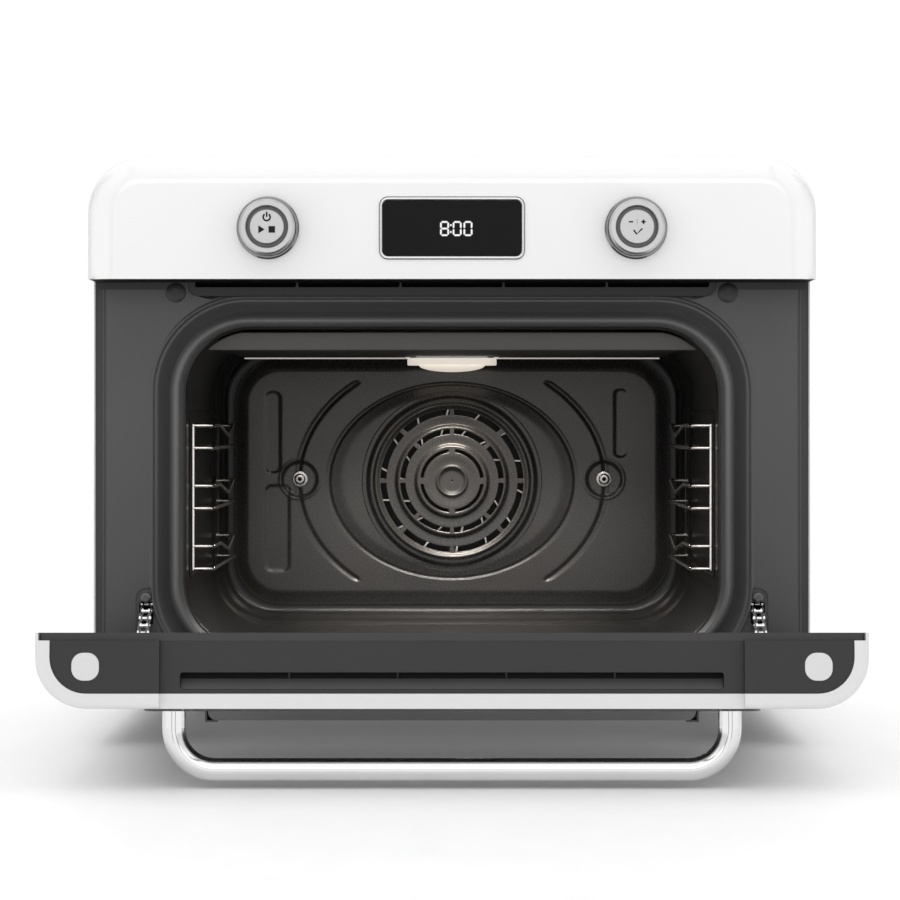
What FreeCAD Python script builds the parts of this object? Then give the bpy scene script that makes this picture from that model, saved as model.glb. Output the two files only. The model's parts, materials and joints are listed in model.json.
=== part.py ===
"""Countertop combi steam oven, a parametric model in millimetres.

X runs to the right, Y from front to back and Z up. Sizes along Y are counted from the plane of the
front frame, which the door closes against, and every sub-part is then shifted by front_y, so that the
origin is on the table under the middle of the oven. The door's pieces are drawn closed and turned
open about the hinge line, because the oven is kept with its door open.
"""
import FreeCAD, Part
import math
import operator
import os
import Sketcher
from FreeCAD import Placement, Rotation, Vector

DIMENSIONS = {
    # whole oven
    "half_width": 248.5, "top_z": 403, "front_y": -46,
    # control hood over the door
    "hood_bottom": 318.5, "hood_front": -45, "hood_back": 2, "hood_corner": 40, "hood_edge": 20,
    "hood_wall": 3, "hood_floor": 2.5,
    "control_x": 124, "control_z": 352.8, "control_hole": 15,
    "display_width": 94, "display_height": 38,
    # outer casing and rear cover
    "casing_half": 247.3, "casing_top": 401.8, "casing_corner": 39, "casing_wall": 1.2,
    "casing_front": 3, "casing_back": 368, "casing_bottom": 24,
    # front frame: the mouth is its opening, the seat is the step that carries the door gasket
    "frame_half": 245.5, "frame_bottom": 30, "frame_top": 330, "frame_sheet": 2,
    "mouth_half": 206, "mouth_bottom": 45.4, "mouth_top": 307.4, "mouth_corner": 64,
    "seat_depth": 8.8, "sheet": 1.2, "frame_screw_z": 100.9, "bumper_x": 190.3, "bumper_z": 311.3,
    "vent_half": 34, "vent_pitch": 71.2, "vent_low": 315, "vent_high": 319.4,
    # oven cavity, centred on the fan
    "cavity_z": 176.4, "cavity_half": 184, "cavity_rise": 110, "cavity_corner": 45,
    "cavity_back": 268, "throat_half": 177, "throat_rise": 103.5, "throat_corner": 40,
    "wall_y": 285, "chamber_half": 158, "chamber_rise": 85, "chamber_corner": 30, "chamber_back": 320,
    "blanket": 12,
    # fan baffle
    "baffle_half": 165, "baffle_rise": 91.5, "baffle_corner": 33, "dish": 64.6, "dish_front": 266,
    "baffle_screw_x": 119, "baffle_screw_z": 177.6,
    # lamp in the ceiling
    "lamp_half": 34, "lamp_front": 215, "lamp_back": 262,
    # wire racks
    "rack_x": 182, "rack_reach": 14.5, "rack_front": 40, "rack_back": 255, "wire": 1.3,
    "rack_top": 219.6, "shelf_pitch": 42.4, "rail_gap": 15.8,
    # door, in its closed place
    "door_half": 249.6, "door_front": -47.5, "door_back": -2, "door_bottom": 40, "door_top": 315,
    "door_corner": 31, "door_edge": 11, "rim": 9, "door_frame_half": 247.4, "door_frame_depth": 4.8,
    "dip_half": 175, "dip": 4.5, "door_wall": 3, "outer_glass_half": 188, "inner_glass_half": 199,
    "hinge_y": -20, "hinge_z": 55.4, "open_angle": 85, "hinge_x": 228, "hinge_pin": 3,
    # handle
    "handle_half": 168.3, "handle_stand": 36.7, "handle_z": 287, "handle_bar": 7, "handle_bend": 25,
    # door chains
    "chain_x": 211, "guide_y": 3, "guide_z": 92, "anchor_y": -16.8, "anchor_z": 75.8,
    "chain_slope": 35, "chain_reach": 53.4, "chain_tail": 15, "chain_pitch": 8, "spring_far": 150,
    # bottom
    "base_z": 27, "skirt_rise": 16, "foot_x": 197, "foot_front": 60, "foot_back": 330, "foot_radius": 8,
    "tray_half": 168, "tray_bottom": 16.4, "tray_top": 25.4, "tray_length": 75,
    # water tank behind the right side
    "tank_inner": 130, "tank_front": 150, "tank_back": 330, "tank_bottom": 303, "tank_top": 358,
    # air movers
    "fan_radius": 60, "hinge_slot": 9, "fan_front": 292, "shaft": 4, "heater_radius": 74, "element": 3.25,
    "blower_y": 70, "blower_z": 335, "blower_radius": 20, "blower_left": -120, "blower_right": 60,
    # steam nozzle
    "nozzle_x": -145, "nozzle_y": 200,
}
MODEL = FreeCAD.newDocument("oven")


class Size:
    """A length that carries its value and the sheet expression that gives it."""

    def __init__(self, value, text):
        self.value = float(value)
        self.text = text

    def join(self, sign, work, other):
        other = size(other)
        return Size(work(self.value, other.value), f"({self.text} {sign} {other.text})")

    def __add__(self, other):
        return self.join("+", operator.add, other)

    def __sub__(self, other):
        return self.join("-", operator.sub, other)

    def __mul__(self, other):
        return self.join("*", operator.mul, other)

    def __truediv__(self, other):
        return self.join("/", operator.truediv, other)

    def __radd__(self, other):
        return size(other) + self

    def __rmul__(self, other):
        return size(other) * self

    def __rsub__(self, other):
        return size(other) - self

    def __neg__(self):
        return size(0) - self


class Sheet:
    """The spreadsheet of driving dimensions. Each one is read as an attribute."""

    def __init__(self, table):
        self.table = table
        sheet = MODEL.addObject("Spreadsheet::Sheet", "dims")
        for row, (name, value) in enumerate(table.items(), start=1):
            sheet.set(f"A{row}", name)
            sheet.set(f"B{row}", str(value))
            sheet.setAlias(f"B{row}", name)
        MODEL.recompute()

    def __getattr__(self, name):
        return Size(self.table[name], f"dims.{name}")


def size(number):
    """A plain number as a Size. A Size stays as it is."""
    return number if isinstance(number, Size) else Size(number, f"({float(number)})")


d = Sheet(DIMENSIONS)
NODES = {}
MOVED = set()


# ---------------------------------------------------------------- sketches and bodies

def hold(sketch, kind, *targets):
    """Adds one dimension to a sketch. The last target is its size, bound to the sheet."""
    *ends, length = targets
    number = sketch.addConstraint(Sketcher.Constraint(kind, *ends, size(length).value))
    sketch.renameConstraint(number, f"size{number}")
    sketch.setExpression(f"Constraints.size{number}", size(length).text)


def outline(*corners):
    """A closed outline, anticlockwise. (x, y) is a sharp corner, and (x, y, radius) a round one
    between two square sides."""
    spots = [Vector(size(c[0]).value, size(c[1]).value, 0) for c in corners]
    radii = [size(c[2]).value if len(c) > 2 else 0.0 for c in corners]
    count = len(corners)

    def draw(sketch):
        ways = [(spots[(i + 1) % count] - spots[i]).normalize() for i in range(count)]
        sides = []
        for i in range(count):
            start = spots[i] + ways[i] * radii[i]
            end = spots[(i + 1) % count] - ways[i] * radii[(i + 1) % count]
            sides.append(sketch.addGeometry(Part.LineSegment(start, end), False))
        for i, corner in enumerate(corners):
            if radii[i]:
                middle = spots[i] + (ways[i] - ways[i - 1]) * radii[i]
                peak = middle + (spots[i] - middle).normalize() * radii[i]
                first, last = spots[i] - ways[i - 1] * radii[i], spots[i] + ways[i] * radii[i]
                arc = sketch.addGeometry(Part.Arc(first, peak, last), False)
                left_turn = ways[i - 1].cross(ways[i]).z > 0
                near, far = (1, 2) if left_turn else (2, 1)
                sketch.addConstraint(Sketcher.Constraint("Tangent", sides[i - 1], 2, arc, near))
                sketch.addConstraint(Sketcher.Constraint("Tangent", arc, far, sides[i], 1))
                hold(sketch, "Radius", arc, corner[2])
            else:
                sketch.addConstraint(Sketcher.Constraint("Coincident", sides[i - 1], 2, sides[i], 1))
                hold(sketch, "DistanceX", -1, 1, sides[i], 1, corner[0])
                hold(sketch, "DistanceY", -1, 1, sides[i], 1, corner[1])
        for i, corner in enumerate(corners):
            after = (i + 1) % count
            if radii[i] or radii[after]:
                level = abs(ways[i].y) < abs(ways[i].x)
                sketch.addConstraint(Sketcher.Constraint("Horizontal" if level else "Vertical", sides[i]))
                if radii[i] and radii[after]:
                    kind = "DistanceY" if level else "DistanceX"
                    hold(sketch, kind, -1, 1, sides[i], 1, corner[1 if level else 0])
    return draw


def rectangle(left, right, low, high, radius=None):
    """An outline with square or round corners."""
    end = () if radius is None else (radius,)
    return outline((left, low, *end), (right, low, *end), (right, high, *end), (left, high, *end))


def centred(half, rise, radius, middle=None):
    """A rectangle with round corners about the cavity's axis, or about another height."""
    middle = d.cavity_z if middle is None else middle
    return rectangle(-half, half, middle - rise, middle + rise, radius)


def arch(half, low, high, radius):
    """An outline that is square at the bottom and round at its two top corners."""
    return outline((-half, low), (half, low), (half, high, radius), (-half, high, radius))


def circle(x, y, radius):
    """A round outline."""
    def draw(sketch):
        middle = Vector(size(x).value, size(y).value, 0)
        ring = sketch.addGeometry(Part.Circle(middle, Vector(0, 0, 1), size(radius).value), False)
        hold(sketch, "DistanceX", -1, 1, ring, 3, x)
        hold(sketch, "DistanceY", -1, 1, ring, 3, y)
        hold(sketch, "Radius", ring, radius)
    return draw


def sketch_on(body, plane, start, loops):
    """A sketch on one of the body's own planes, moved along that plane's axis to start."""
    sketch = body.newObject("Sketcher::SketchObject", "outline")
    support = [f for f in body.Origin.OriginFeatures if f.Role == f"{plane}_Plane"][0]
    sketch.AttachmentSupport = [(support, "")]
    sketch.MapMode = "FlatFace"
    shift = -size(start) if plane == "XZ" else size(start)
    sketch.setExpression("AttachmentOffset.Base.z", shift.text)
    for loop in loops:
        loop(sketch)
    return sketch


def pad(body, plane, start, length, *loops):
    """Adds material from start onwards, over length, towards the plane's positive side."""
    feature = body.newObject("PartDesign::Pad", "pad")
    feature.Profile = sketch_on(body, plane, start, loops)
    feature.Reversed = plane == "XZ"
    feature.setExpression("Length", size(length).text)
    return body


def pocket(body, plane, start, length, *loops):
    """Takes material away from start onwards, over length, towards the plane's positive side."""
    feature = body.newObject("PartDesign::Pocket", "pocket")
    feature.Profile = sketch_on(body, plane, start, loops)
    feature.Reversed = plane != "XZ"
    feature.setExpression("Length", size(length).text)
    return body


def new_body(name):
    """An empty body."""
    return MODEL.addObject("PartDesign::Body", name)


def slab(plane, start, length, *loops):
    """A body of one pad."""
    return pad(new_body("slab"), plane, start, length, *loops)


def turned(axis, *profile):
    """A body turned about its own axis. The profile's points are (place along the axis, radius)."""
    body = new_body("turned")
    plane = {"X": "XZ", "Y": "YZ", "Z": "XZ"}[axis]
    points = [(r, a) for a, r in profile] if axis == "Z" else list(profile)
    sketch = sketch_on(body, plane, 0, [outline(*points)])
    feature = body.newObject("PartDesign::Revolution", "turning")
    feature.Profile = sketch
    feature.ReferenceAxis = (sketch, ["V_Axis" if axis == "Z" else "H_Axis"])
    feature.Angle = 360
    return body


def round_edges(body, radius, wanted):
    """Rounds the edges of the body so far whose bounding box the test wants."""
    MODEL.recompute()
    last = body.Tip
    names = [f"Edge{i}" for i, edge in enumerate(last.Shape.Edges, start=1) if wanted(edge.BoundBox)]
    feature = body.newObject("PartDesign::Fillet", "round")
    feature.Base = (last, names)
    feature.setExpression("Radius", size(radius).text)
    return body


# ---------------------------------------------------------------- primitives and booleans

TURNS = {"X": Rotation(Vector(0, 1, 0), 90), "Y": Rotation(Vector(1, 0, 0), -90), "Z": Rotation()}


def bind(part, **sizes):
    """Binds properties of a part to the sheet."""
    for name, length in sizes.items():
        part.setExpression(name, size(length).text)
    return part


def move(part, x=0, y=0, z=0):
    """Places a part."""
    for name, length in zip("xyz", (x, y, z)):
        part.setExpression(f"Placement.Base.{name}", size(length).text)
    MOVED.add(part.Name)
    return part


def box(left, right, front, back, low, high):
    """A block between six planes."""
    part = MODEL.addObject("Part::Box", "block")
    bind(part, Length=right - left, Width=back - front, Height=high - low)
    return move(part, left, front, low)


def rod(axis, x, y, z, radius, length):
    """A round bar that starts at (x, y, z) and runs along an axis."""
    part = MODEL.addObject("Part::Cylinder", "rod")
    part.Placement = Placement(Vector(), TURNS[axis])
    bind(part, Radius=radius, Height=length)
    return move(part, x, y, z)


def joined(*parts):
    """Parts made into one solid."""
    part = MODEL.addObject("Part::MultiFuse", "joined")
    part.Shapes = list(parts)
    return part


def group(*parts):
    """Separate solids kept in one node."""
    part = MODEL.addObject("Part::Compound", "group")
    part.Links = list(parts)
    return part


def cut(base, *tools):
    """A part with others cut away."""
    part = MODEL.addObject("Part::Cut", "cut")
    part.Base = base
    part.Tool = tools[0] if len(tools) == 1 else joined(*tools)
    return part


def mirrored(part):
    """The part on the other side of the oven's middle plane."""
    twin = MODEL.addObject("Part::Mirroring", "twin")
    twin.Source = part
    twin.Normal = Vector(1, 0, 0)
    return twin


def both(part):
    """A part and its mirror image."""
    return group(part, mirrored(part))


def shaped(shape):
    """A part whose shape is worked out here in code."""
    part = MODEL.addObject("Part::Feature", "shaped")
    part.Shape = shape
    return part


def point(x, y, z):
    """A vector from sizes or plain numbers."""
    return Vector(size(x).value, size(y).value, size(z).value)


def bent_wire(points, bend, radius):
    """The solid of a wire that runs from point to point with round bends."""
    edges = []
    here = points[0]
    for i in range(1, len(points) - 1):
        back = (points[i - 1] - points[i]).normalize()
        ahead = (points[i + 1] - points[i]).normalize()
        half_angle = back.getAngle(ahead) / 2
        reach = bend / math.tan(half_angle)
        middle = points[i] + (back + ahead).normalize() * (bend / math.sin(half_angle))
        first, last = points[i] + back * reach, points[i] + ahead * reach
        peak = middle + (points[i] - middle).normalize() * bend
        edges += [Part.LineSegment(here, first).toShape(), Part.Arc(first, peak, last).toShape()]
        here = last
    edges.append(Part.LineSegment(here, points[-1]).toShape())
    section = Part.Wire([Part.Circle(points[0], points[1] - points[0], radius).toShape()])
    return Part.Wire(edges).makePipeShell([section], True, False)


# ---------------------------------------------------------------- nodes

def node(label, part, on_door=False):
    """Names a sub-part and gives it its place in the oven, on the door or on the cabinet."""
    if part.Name in MOVED:
        part = group(part)
    part.Label = label
    NODES[label] = part
    if not on_door:
        bind(part, **{"Placement.Base.y": d.front_y})
        return
    part.Placement = Placement(Vector(), Rotation(Vector(1, 0, 0), d.open_angle.value))
    swing = {name: f"{name}(dims.open_angle * 1 deg)" for name in ("cos", "sin")}
    shift_y = f"dims.hinge_y * (1 - {swing['cos']}) + dims.hinge_z * {swing['sin']} + dims.front_y"
    shift_z = f"dims.hinge_z * (1 - {swing['cos']}) - dims.hinge_y * {swing['sin']}"
    part.setExpression("Placement.Rotation.Angle", "dims.open_angle * 1 deg")
    part.setExpression("Placement.Base.y", shift_y)
    part.setExpression("Placement.Base.z", shift_z)


def control_hood():
    """The gloss white hood over the door, open to the back, with holes for the controls."""
    depth = d.hood_back - d.hood_front
    outside = slab("XZ", d.hood_front, depth, arch(d.half_width, d.hood_bottom, d.top_z, d.hood_corner))
    front = d.hood_front.value
    round_edges(outside, d.hood_edge, lambda b: b.YMax < front + 0.01 and b.ZMax > d.hood_bottom.value + 1)
    wall = d.hood_wall
    low = d.hood_bottom + d.hood_floor
    inside = slab("XZ", d.hood_front + wall, depth, arch(d.half_width - wall, low, d.top_z - wall,
                                                        d.hood_corner - wall))
    front_inside = (d.hood_front + wall).value
    round_edges(inside, d.hood_edge - wall, lambda b: b.YMax < front_inside + 0.01 and b.ZMax > low.value + 1)
    notch = box(wall - d.half_width, d.half_width - wall, -0.5, 5, d.hood_bottom - 1, low + 1)
    outside_y, through = d.hood_front - 5, 15
    hole = rod("Y", d.control_x, outside_y, d.control_z, d.control_hole, through)
    half, rise = d.display_width / 2, d.display_height / 2
    window = slab("XZ", outside_y, through, rectangle(-half, half, d.control_z - rise, d.control_z + rise, 4))
    node("control_hood", cut(outside, inside, notch, window, hole, mirrored(hole)))


def outer_casing():
    """The white U-shaped casing, with an opening for the water tank in its right side."""
    depth, wall = d.casing_back - d.casing_front, d.casing_wall
    outside = arch(d.casing_half, d.casing_bottom, d.casing_top, d.casing_corner)
    casing = slab("XZ", d.casing_front, depth, outside)
    pocket(casing, "XZ", d.casing_front, depth, arch(d.casing_half - wall, d.casing_bottom - 1,
                                                   d.casing_top - wall, d.casing_corner - wall))
    tank = rectangle(d.tank_front - 1, d.tank_back + 1, d.tank_bottom - 1, d.tank_top + 4, 6)
    pocket(casing, "YZ", d.casing_half - 10, 20, tank)
    node("outer_casing", casing)


def front_frame():
    """The enamelled front: a flat sheet with the mouth, its return wall and the gasket seat."""
    half, low, high, sheet = d.frame_half, d.frame_bottom, d.frame_top, d.frame_sheet
    middle, rise = (d.mouth_top + d.mouth_bottom) / 2, (d.mouth_top - d.mouth_bottom) / 2
    thin, edge_depth = d.sheet, 14
    seat = centred(d.cavity_half + 3, d.cavity_rise, d.cavity_corner)
    mouth = centred(d.mouth_half, rise, d.mouth_corner, middle)
    round_mouth = centred(d.mouth_half + thin, rise + thin, d.mouth_corner + thin, middle)
    frame = slab("XZ", 0, sheet, rectangle(-half, half, low, high), mouth)
    pad(frame, "XZ", 0, d.seat_depth + thin, round_mouth, mouth)
    pad(frame, "XZ", d.seat_depth, thin, round_mouth, seat)
    pad(frame, "XZ", 0, edge_depth, rectangle(-half, half, low, high),
        rectangle(thin - half, half - thin, low + thin, high - thin))
    vents = [box(x - d.vent_half, x + d.vent_half, -1, 3, d.vent_low, d.vent_high)
             for x in (i * d.vent_pitch for i in (-2, -1, 0, 1, 2))]
    openings = []
    for side in (-1, 1):
        openings.append(box(side * d.chain_x - 4.6, side * d.chain_x + 4.6, -1, 3, 83.5, 96.3))
        openings.append(box(side * d.hinge_x - 2.6, side * d.hinge_x + 2.6, -1, 3, 45, 66))
        openings.append(rod("Y", side * d.chain_x, -1, d.frame_screw_z, 1.7, 5))
    node("front_frame", cut(frame, *vents, *openings))


def door_gasket():
    """The silicone seal: a flange on the seat and a bead that the closed door nearly touches."""
    half, rise, corner = d.cavity_half, d.cavity_rise, d.cavity_corner
    seal = slab("XZ", d.seat_depth - 2.5, 2.5, centred(half + 13, rise + 10, corner + 10),
                centred(half + 3.3, rise + 0.3, corner))
    pad(seal, "XZ", -1.6, d.seat_depth - 0.9, centred(half + 8, rise + 5, corner + 5),
        centred(half + 4.5, rise + 1.5, corner + 1.5))
    node("door_gasket", seal)


def cavity_liner():
    """The enamelled oven cavity: walls, a stepped throat and the fan chamber behind the baffle."""
    walls = cut(group(*wrapped_sheet()), *ceiling_holes(3))
    back_plate = joined(stepped_back(), *baffle_posts())
    heater_z = d.cavity_z - d.heater_radius + 1
    heater_feet = [rod("Y", x, d.chamber_back - 1, heater_z, 3.8, 5) for x in (-12, 12)]
    node("cavity_liner", group(walls, cut(back_plate, *heater_feet)))


def wrapped_sheet():
    """The sheet round the cavity, as flat sides and bent corners that meet face to face."""
    thin, middle, corner = d.sheet, d.cavity_z, d.cavity_corner
    half, rise, front, back = d.cavity_half, d.cavity_rise, d.seat_depth + d.sheet, d.cavity_back
    flat_half, flat_rise = half - corner, rise - corner
    floor = box(-flat_half, flat_half, front, back, middle - rise - thin, middle - rise)
    ceiling = box(-flat_half, flat_half, front, back, middle + rise, middle + rise + thin)
    side = box(half, half + thin, front, back, middle - flat_rise, middle + flat_rise)
    low_corner = bent_corner(flat_half, middle - flat_rise, front, back, 0)
    high_corner = bent_corner(flat_half, middle + flat_rise, front, back, 270)
    return floor, ceiling, both(joined(side, *rack_studs())), both(low_corner), both(high_corner)


def bent_corner(x, z, front, back, turn):
    """A quarter of a tube on the right side. It starts from +X and turns down, after a first turn."""
    quarter = rod("Y", x, front, z, d.cavity_corner + d.sheet, back - front)
    quarter.Angle = 90
    quarter.Placement = Placement(quarter.Placement.Base, TURNS["Y"] * Rotation(Vector(0, 0, 1), turn))
    return cut(quarter, rod("Y", x, front, z, d.cavity_corner, back - front))


def stepped_back():
    """The liner behind the cavity: two steps in to the throat and the fan chamber, and its end."""
    thin = d.sheet
    cavity = (d.cavity_half, d.cavity_rise, d.cavity_corner)
    throat = (d.throat_half, d.throat_rise, d.throat_corner)
    chamber = (d.chamber_half, d.chamber_rise, d.chamber_corner)
    wide_cavity, wide_throat, wide_chamber = (
        tuple(length + thin for length in sizes) for sizes in (cavity, throat, chamber))
    plate = slab("XZ", d.cavity_back, thin, centred(*wide_cavity), centred(*throat))
    pad(plate, "XZ", d.cavity_back, d.wall_y - d.cavity_back, centred(*wide_throat), centred(*throat))
    pad(plate, "XZ", d.wall_y, thin, centred(*wide_throat), centred(*chamber))
    pad(plate, "XZ", d.wall_y, d.chamber_back - d.wall_y, centred(*wide_chamber), centred(*chamber))
    return pad(plate, "XZ", d.chamber_back, thin, centred(*wide_chamber), circle(0, d.cavity_z, 9))


def baffle_posts():
    """The two threaded posts that the baffle's screws go into."""
    length = d.chamber_back - d.wall_y
    return [cut(rod("Y", x, d.wall_y + 1, d.baffle_screw_z, 6, length),
                rod("Y", x, d.wall_y, d.baffle_screw_z, 2.5, length - 5))
            for x in (-d.baffle_screw_x, d.baffle_screw_x)]


def ceiling_holes(margin):
    """The cutters for what comes through the cavity's ceiling: lamp, grill ends and steam nozzle."""
    low, height = d.cavity_z + d.cavity_rise - 12, 40
    lamp = box(-d.lamp_half - margin, d.lamp_half + margin, d.lamp_front - margin, d.lamp_back + margin,
               low, low + height)
    ends = [rod("Z", x, 240, low, d.element + 0.5, height) for x in (-75, 75)]
    return [lamp, *ends, rod("Z", d.nozzle_x, d.nozzle_y, low, 4.2, height)]


def cavity_insulation():
    """The mineral wool blanket round the cavity."""
    half, rise, corner = d.cavity_half + 2, d.cavity_rise + 2, d.cavity_corner + 2
    wool = slab("XZ", 14, d.cavity_back - 20, centred(half + d.blanket, rise + d.blanket, corner + d.blanket),
                centred(half, rise, corner))
    node("cavity_insulation", cut(wool, *ceiling_holes(5)))


def fan_baffle():
    """The pressed cover over the fan: a sheet with a round stepped dish and rings of slots."""
    thin, back, middle = d.sheet, d.wall_y, d.cavity_z
    plate = slab("XZ", back - 2.4, thin, centred(d.baffle_half, d.baffle_rise, d.baffle_corner),
                 circle(0, middle, d.dish - 2),
                 *[circle(x, d.baffle_screw_z, 2.8) for x in (-d.baffle_screw_x, d.baffle_screw_x)])
    pad(plate, "XZ", back - 1.2, 1.2, centred(d.baffle_half, d.baffle_rise, d.baffle_corner),
        centred(d.baffle_half - thin, d.baffle_rise - thin, d.baffle_corner - thin))
    front, steps = d.dish_front, 5
    dish = turned("Y", (back - 2.4, d.dish), (back - 1.2, d.dish), (back - 1.2, 58),
                  (front + steps + thin, 52), (front + thin, 24), (front + thin, 0), (front, 0),
                  (front, 24 + thin), (front + steps, 52 + thin), (back - 2.4, 58 + thin))
    move(dish, 0, 0, middle)
    depth = back - front + 4
    rings = []
    for outer, inner, ribs in ((55.7, 51.4, 4), (40.3, 36.5, 4), (24.5, 22.4, 2)):
        ring = cut(rod("Y", 0, front - 2, middle, outer, depth), rod("Y", 0, front - 2, middle, inner, depth))
        bars = [rib(180 / ribs * (i + 0.5), front - 3, depth + 2) for i in range(ribs)]
        rings.append(cut(ring, *bars))
    node("fan_baffle", cut(joined(plate, dish), *rings))


def rib(angle, front, depth):
    """A bar across the fan's axis, left standing between the slots."""
    bar = MODEL.addObject("Part::Box", "rib")
    half_length, half_width = 60, 2
    bind(bar, Length=2 * half_length, Width=depth, Height=2 * half_width)
    turn = Rotation(Vector(0, 1, 0), angle)
    corner = turn.multVec(Vector(-half_length, 0, -half_width))
    bar.Placement = Placement(Vector(), turn)
    return move(bar, corner.x, front, d.cavity_z + corner.z)


def baffle_screws():
    """The two screws and washers that hold the fan baffle."""
    screw = turned("Y", (-2.6, 0), (22, 0), (22, 2.4), (0, 2.4), (0, 6.3), (-1, 6.3), (-1, 4), (-2.6, 3.4))
    node("baffle_screws", both(move(screw, d.baffle_screw_x, d.wall_y - 2.4, d.baffle_screw_z)))


def ceiling_panel():
    """The sheet under the grill element, with a front lip and an opening for the lamp."""
    low, thin, lip_top = d.cavity_z + 95.6, d.sheet, d.cavity_z + 108.2
    sheet = slab("XY", low, thin, rectangle(-161, 161, 22, 266),
                 rectangle(-d.lamp_half - 2, d.lamp_half + 2, d.lamp_front - 3, d.lamp_back + 2))
    pad(sheet, "XZ", 22, thin, outline((-170, low), (170, low), (148, lip_top), (-148, lip_top)))
    hangers = [box(x - 4, x + 4, y - 4, y + 4, low + thin, d.cavity_z + d.cavity_rise)
               for x in (-115, 115) for y in (45, 180)]
    node("ceiling_panel", joined(sheet, *hangers))


def grill_element():
    """The grill heater, bent to and fro over the ceiling panel, with its ends up through the ceiling."""
    level = d.cavity_z + 103.2
    near, far, back, turn_x, outer_x = 55, 195, 240, 75, 125
    route = [point(-turn_x, back, level + 26), point(-turn_x, back, level), point(-outer_x, back, level),
             point(-outer_x, near, level)]
    for i in range(4):
        pass_x = turn_x * (2 * i - 3) / 3
        ends = (near, far) if i % 2 == 0 else (far, near)
        route += [point(pass_x, y, level) for y in ends]
    route += [point(outer_x, near, level), point(outer_x, back, level), point(turn_x, back, level),
              point(turn_x, back, level + 26)]
    node("grill_element", shaped(bent_wire(route, 9, d.element.value)))


def ring_heater():
    """The round heater about the fan, with two ends through the chamber's back."""
    ring = MODEL.addObject("Part::Torus", "ring")
    bind(ring, Radius1=d.heater_radius, Radius2=d.element)
    ring.Placement = Placement(Vector(), TURNS["Y"])
    move(ring, 0, 302, d.cavity_z)
    low = d.cavity_z - d.heater_radius + 1
    node("ring_heater", joined(ring, *[rod("Y", x, 302, low, d.element, 30) for x in (-12, 12)]))


def oven_lamp():
    """The lamp's glass cover, its housing above the ceiling and the bulb inside."""
    half, front, back = d.lamp_half, d.lamp_front, d.lamp_back
    lens = slab("XY", 266, 5, rectangle(-half, half, front, back, 9))
    node("lamp_lens", lens)
    housing = slab("XY", 271, 30, rectangle(2 - half, half - 2, front + 2, back - 2, 7))
    pocket(housing, "XY", 271, 28.5, rectangle(3.5 - half, half - 3.5, front + 3.5, back - 3.5, 5.5))
    node("lamp_housing", housing)
    bulb = joined(rod("X", -9, (front + back) / 2, 283, 5.5, 22),
                  box(13, 29, (front + back) / 2 - 6, (front + back) / 2 + 6, 277, 289))
    node("lamp_bulb", bulb)


def racks():
    """The two wire racks: posts and three pairs of rails bent in towards the cavity."""
    for name, side in (("rack_left", -1), ("rack_right", 1)):
        x, reach, wire = d.rack_x.value * side, d.rack_reach.value * side, d.wire.value
        front, back, top = d.rack_front.value, d.rack_back.value, d.rack_top.value
        bottom = top - 2 * d.shelf_pitch.value - d.rail_gap.value
        wires = [bent_wire([Vector(x, y, bottom - 1), Vector(x, y, top + 1)], 0, wire) for y in (front, back)]
        for level in range(3):
            for drop in (0, d.rail_gap.value):
                rail_z = top - level * d.shelf_pitch.value - drop
                ends = [(x, front), (x - reach, front), (x - reach, back), (x, back)]
                wires.append(bent_wire([Vector(px, py, rail_z) for px, py in ends], 6, wire))
        node(name, shaped(wires[0].fuse(wires[1:]).removeSplitter()))


def rack_studs():
    """The headed studs on the cavity's right side that a rack hangs on."""
    studs = []
    for stud_y in (d.rack_front + 6, d.rack_back - 6):
        for stud_z in (d.rack_top - 4.2, d.rack_top - d.shelf_pitch * 2 + 3.5):
            stud = turned("X", (0, 0), (7.5, 0), (7.5, 2), (1.2, 2), (1.2, 3.4), (0, 3.4))
            studs.append(move(stud, d.cavity_half - 7, stud_y, stud_z))
    return studs


def frame_fittings():
    """The rubber door bumpers and the cross-head screws on the front frame."""
    bumper = turned("Y", (-1.6, 0), (0, 0), (0, 6.9), (-0.7, 6.6), (-1.3, 5), (-1.6, 3))
    node("door_bumpers", both(move(bumper, d.bumper_x, 0, d.bumper_z)))
    screw = turned("Y", (-1.5, 0), (9, 0), (9, 1.6), (0, 1.6), (0, 3.6), (-0.8, 3.4), (-1.5, 2.2))
    node("frame_screws", both(move(screw, d.chain_x, 0, d.frame_screw_z)))


def display():
    """The clock: a chrome bezel, a black glass and its board behind."""
    half, rise, middle, face = d.display_width / 2, d.display_height / 2, d.control_z, d.hood_front
    edge = 2.3

    def window(grow, corner):
        return rectangle(-half - grow, half + grow, middle - rise - grow, middle + rise + grow, corner)
    node("display_bezel", slab("XZ", face - 1.2, 1.2, window(edge, 6), window(0.1, 4)))
    node("display_glass", slab("XZ", face - 0.7, 3, window(-0.1, 3.9)))


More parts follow.
